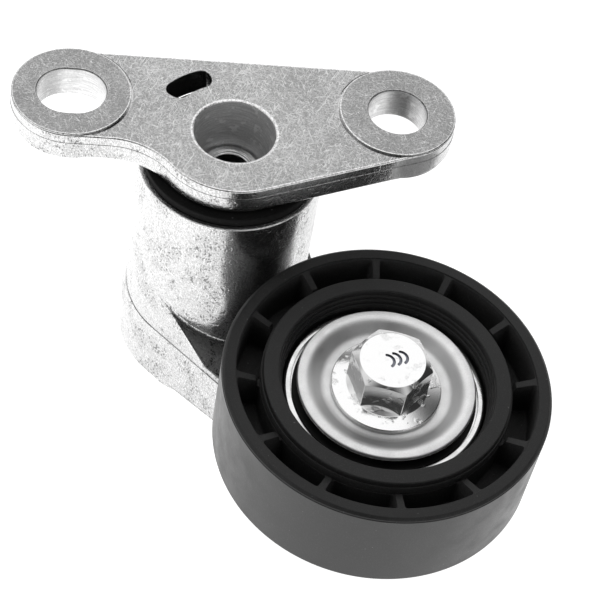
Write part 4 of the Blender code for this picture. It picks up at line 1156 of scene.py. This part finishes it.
def bearing_pieces():
    """Two rings with their tracks, two seals, the balls and their cage."""
    bore, rim, low, high = BEARING_BORE, BEARING_OUTER, BEARING_BOTTOM, BEARING_TOP
    seat, depth = SEAL_SEAT
    outer = [
        (rim, low, 0.0006), (rim, high, 0.0006), (seat, high, CRISP), (seat, high - depth),
        (OUTER_LAND, high - depth),
    ]
    outer += race_groove(OUTER_LAND, 1)
    outer += [(OUTER_LAND, low + depth), (seat, low + depth)]
    outer += [(seat, low, CRISP)]
    ring_mesh = lathe("outer_ring", outer, PULLEY_AXIS)
    show("bearing_outer_ring", ring_mesh, "bearing_steel", "pulley")
    inner = [(bore, high, 0.0005), (INNER_LAND, high, CRISP)]
    inner += race_groove(INNER_LAND, -1)
    inner += [(INNER_LAND, low, CRISP), (bore, low, 0.0005)]
    ring_mesh = lathe("inner_ring", inner, PULLEY_AXIS)
    show("bearing_inner_ring", ring_mesh, "bearing_steel", "arm")
    for node in ("front_bearing_seal", "rear_bearing_seal"):
        _, radius, bottom, top = round_node(node)
        profile = ring(INNER_LAND + 0.0003, radius, bottom, top)
        show(node, lathe(node + "_ring", profile, PULLEY_AXIS), "seal_rubber", "pulley")
    for i in range(BALL_COUNT):
        node = f"bearing_ball_{i + 1}"
        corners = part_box(node)
        bm = bmesh.new()
        bmesh.ops.create_uvsphere(bm, u_segments=40, v_segments=20, radius=BALL_RADIUS)
        bmesh.ops.translate(bm, verts=bm.verts, vec=(corners[0] + corners[1]) / 2)
        show(node, as_mesh(bm, node), "bearing_steel", "ball_cage")
    cage_pieces()


def cage_pieces():
    """Two pressed rings that bulge round the balls and meet between them."""
    axis_x, axis_y = PULLEY_AXIS
    inner, outer, sheet = CAGE
    steps = BALL_COUNT * 32
    pocket = BALL_RADIUS + 0.0003
    for node, side in (("bearing_cage_front", 1), ("bearing_cage_rear", -1)):
        sections = []
        for i in range(steps):
            angle = tau * i / steps
            off_ball = (angle + pi / BALL_COUNT) % (tau / BALL_COUNT) - pi / BALL_COUNT
            over_ball = sqrt(max(pocket**2 - (BALL_CIRCLE * off_ball) ** 2, 0.0))
            near = max(over_ball, 0.0002) * side
            heights = sorted((near, near + side * sheet))
            section = ring_section(angle, inner, outer, *heights, CRISP)
            sections.append([(x + axis_x, y + axis_y, z + BEARING_MIDDLE) for x, y, z in section])
        show(node, sweep(node + "_sheet", sections, closed=True), "cage_steel", "ball_cage")


# ---------------- pulley
def pockets(bottom, top, inner, open_at_top):
    """The hollows between the ribs on one side, drafted, with round corners and a round floor."""
    half = tau / RIB_COUNT / 2 - RIB_THICKNESS / (RIM_INNER + HUB_RING_OUTER)
    blocks = []
    depth = top - bottom
    wall = bend(0.0006) + [(-0.0001, depth), (-0.0001, depth + OVERSHOOT)]
    for i in range(RIB_COUNT):
        middle = RIB_START_ANGLE + tau * (i + 0.5) / RIB_COUNT
        outer = RIM_INNER - 0.0002
        outline = ring_sector(inner, outer, middle - half, middle + half, 0.0005, PULLEY_AXIS)
        if open_at_top:
            levels = [(inset, bottom + z) for inset, z in wall]
        else:
            levels = [(inset, top - z) for inset, z in wall][::-1]
        blocks.append(loft("pocket", outline, levels))
    return blocks


def pulley_profile():
    """Half section of the moulding before its pockets: rim, rib tops, hub ring and stepped bore."""
    hole = BEARING_OUTER + 0.0003
    lip = BEARING_BOTTOM - GAP
    edge, hub, bore = PULLEY_RADIUS, HUB_RING_OUTER, HUB_RING_INNER
    foot, top = PULLEY_BOTTOM, PULLEY_TOP
    under_shelf = foot + RIB_RECESS
    profile = [
        (edge, foot, 0.0007), (edge, top - 0.00085, CRISP),
        (edge - 0.00015, top - 0.00075, CRISP), (edge - 0.00015, top - 0.00045, 0.00015),
        (edge - 0.0007, top, SOFT), (RIM_INNER, top, 0.00025),
        (RIM_INNER, top - 0.0003, CRISP), (hub + 0.0012, top - 0.0017, 0.0004),
        (hub + 0.0009, top - 0.0032), (hub + 0.00035, top - 0.0032),
        (hub + 0.00035, top - 0.0012, CRISP), (hub + 0.0001, top - 0.0012), (hub, top, SOFT),
        (bore, top, 0.0004),
    ]
    steps = 3
    for i in range(steps):
        radius = bore + (hole - bore) * i / steps
        inward = bore + (hole - bore) * (i + 1) / steps
        z = top - 0.0015 - 0.0010 * i
        profile += [(radius, z + 0.0001), (inward, z - 0.0001, CRISP)]
    profile += [
        (hole, lip), (BEARING_OUTER - 0.0008, lip, FINE),
        (BEARING_OUTER - 0.0008, lip - 0.0010, SOFT), (bore, lip - 0.0020, SOFT),
        (bore, foot, SOFT), (hub, foot, SOFT), (hub, under_shelf), (RIM_INNER, under_shelf),
        (RIM_INNER, foot, SOFT),
    ]
    return profile


def pulley_piece():
    """Moulded pulley: smooth rim, hub ring with a stepped bore, ribs each side of a thin web."""
    middle = (PULLEY_BOTTOM + PULLEY_TOP) / 2
    front = pockets(middle + WEB_THICKNESS / 2, PULLEY_TOP, HUB_RING_OUTER + 0.0005, True)
    rear = pockets(PULLEY_BOTTOM, middle - WEB_THICKNESS / 2, HUB_RING_OUTER + 0.0002, False)
    body = lathe("pulley", pulley_profile(), PULLEY_AXIS, 2 * SEGMENTS)
    mesh = carve(body, ("DIFFERENCE", joined("hollows", front + rear)))

    def part_of(centre, normal):
        reach = away(centre, PULLEY_AXIS)
        if reach > PULLEY_RADIUS - 0.0001:
            return "rim_nylon"
        hollow = HUB_RING_OUTER + 0.0003 < reach < RIM_INNER - SKIM
        deep = PULLEY_BOTTOM + 0.004 < centre.z < PULLEY_TOP - 0.0022
        # Painted light: the deep pockets get the lighter nylon.
        return "pocket_lit_nylon" if hollow and deep else "pulley_nylon"

    looks = ["pulley_nylon", "pocket_lit_nylon", "rim_nylon"]
    show("pulley_body", mesh, "pulley_nylon", "pulley", looks, part_of)


# ---------------- stage
def stage():
    """A bright, plain floor, like a light table, that fills the camera's view."""
    look = Look("floor_white", 0.9)
    look.colour(grey(0.30))
    look.set("Emission Color", grey(1.0))
    across = look.add("ShaderNodeSeparateXYZ", {0: look.place}).outputs["X"]
    look.set("Emission Strength", look.step(across, *FLOOR_FADE, *FLOOR_GLOW))
    bm = bmesh.new()
    level, far = cad_box[0].z - FLOOR_GAP, FLOOR_REACH
    corners = ((-far, -far), (far, -far), (far, far), (-far, far))
    bm.faces.new([bm.verts.new((x, y, level)) for x, y in corners])
    floor = bpy.data.objects.new("floor", as_mesh(bm, "floor"))
    floor.data.materials.append(LOOKS["floor_white"])
    bpy.context.scene.collection.objects.link(floor)


def dome():
    """A soft white dome, brightest high behind the object, dark in front and on the right."""
    world = bpy.data.worlds.new("studio")
    world.use_nodes = True
    sky = Nodes(world.node_tree)
    place = sky.add("ShaderNodeTexCoord").outputs["Generated"]
    strength = DOME_BRIGHT
    for azimuth, elevation, full, faded, value in STUDIO_PATCHES:
        middle = direction(radians(azimuth), radians(elevation))
        facing = sky.vector("DOT_PRODUCT", place, middle, output="Value")
        strength = sky.step(facing, cos(radians(faded)), cos(radians(full)), strength, value)
    background = sky.tree.nodes["Background"]
    sky.feed(background.inputs["Strength"], strength)
    sky.feed(background.inputs["Color"], grey(1.0))
    bpy.context.scene.world = world


def direction(azimuth, elevation):
    """Unit vector; azimuth is measured from the front, -Y, towards +X."""
    return Vector((sin(azimuth) * cos(elevation), -cos(azimuth) * cos(elevation), sin(elevation)))


def camera():
    back = direction(*CAMERA_SIDE)
    data = bpy.data.cameras.new("camera")
    data.lens = CAMERA_LENS
    data.sensor_width = 36.0
    data.clip_start = 0.01
    view = bpy.data.objects.new("camera", data)
    view.location = Vector(CAMERA_AIM) + back * CAMERA_DISTANCE
    view.rotation_mode = "QUATERNION"
    view.rotation_quaternion = (-back).to_track_quat("-Z", "Y") @ Quaternion((0, 0, 1), CAMERA_ROLL)
    bpy.context.scene.collection.objects.link(view)
    bpy.context.scene.camera = view


camera()
stage()
dome()
bpy.context.scene.view_settings.view_transform = "Standard"
plate_piece()
pin_piece()
pivot_stack()
spring_pieces()
arm_piece()
bolt_piece()
shield_pieces()
bearing_pieces()
pulley_piece()
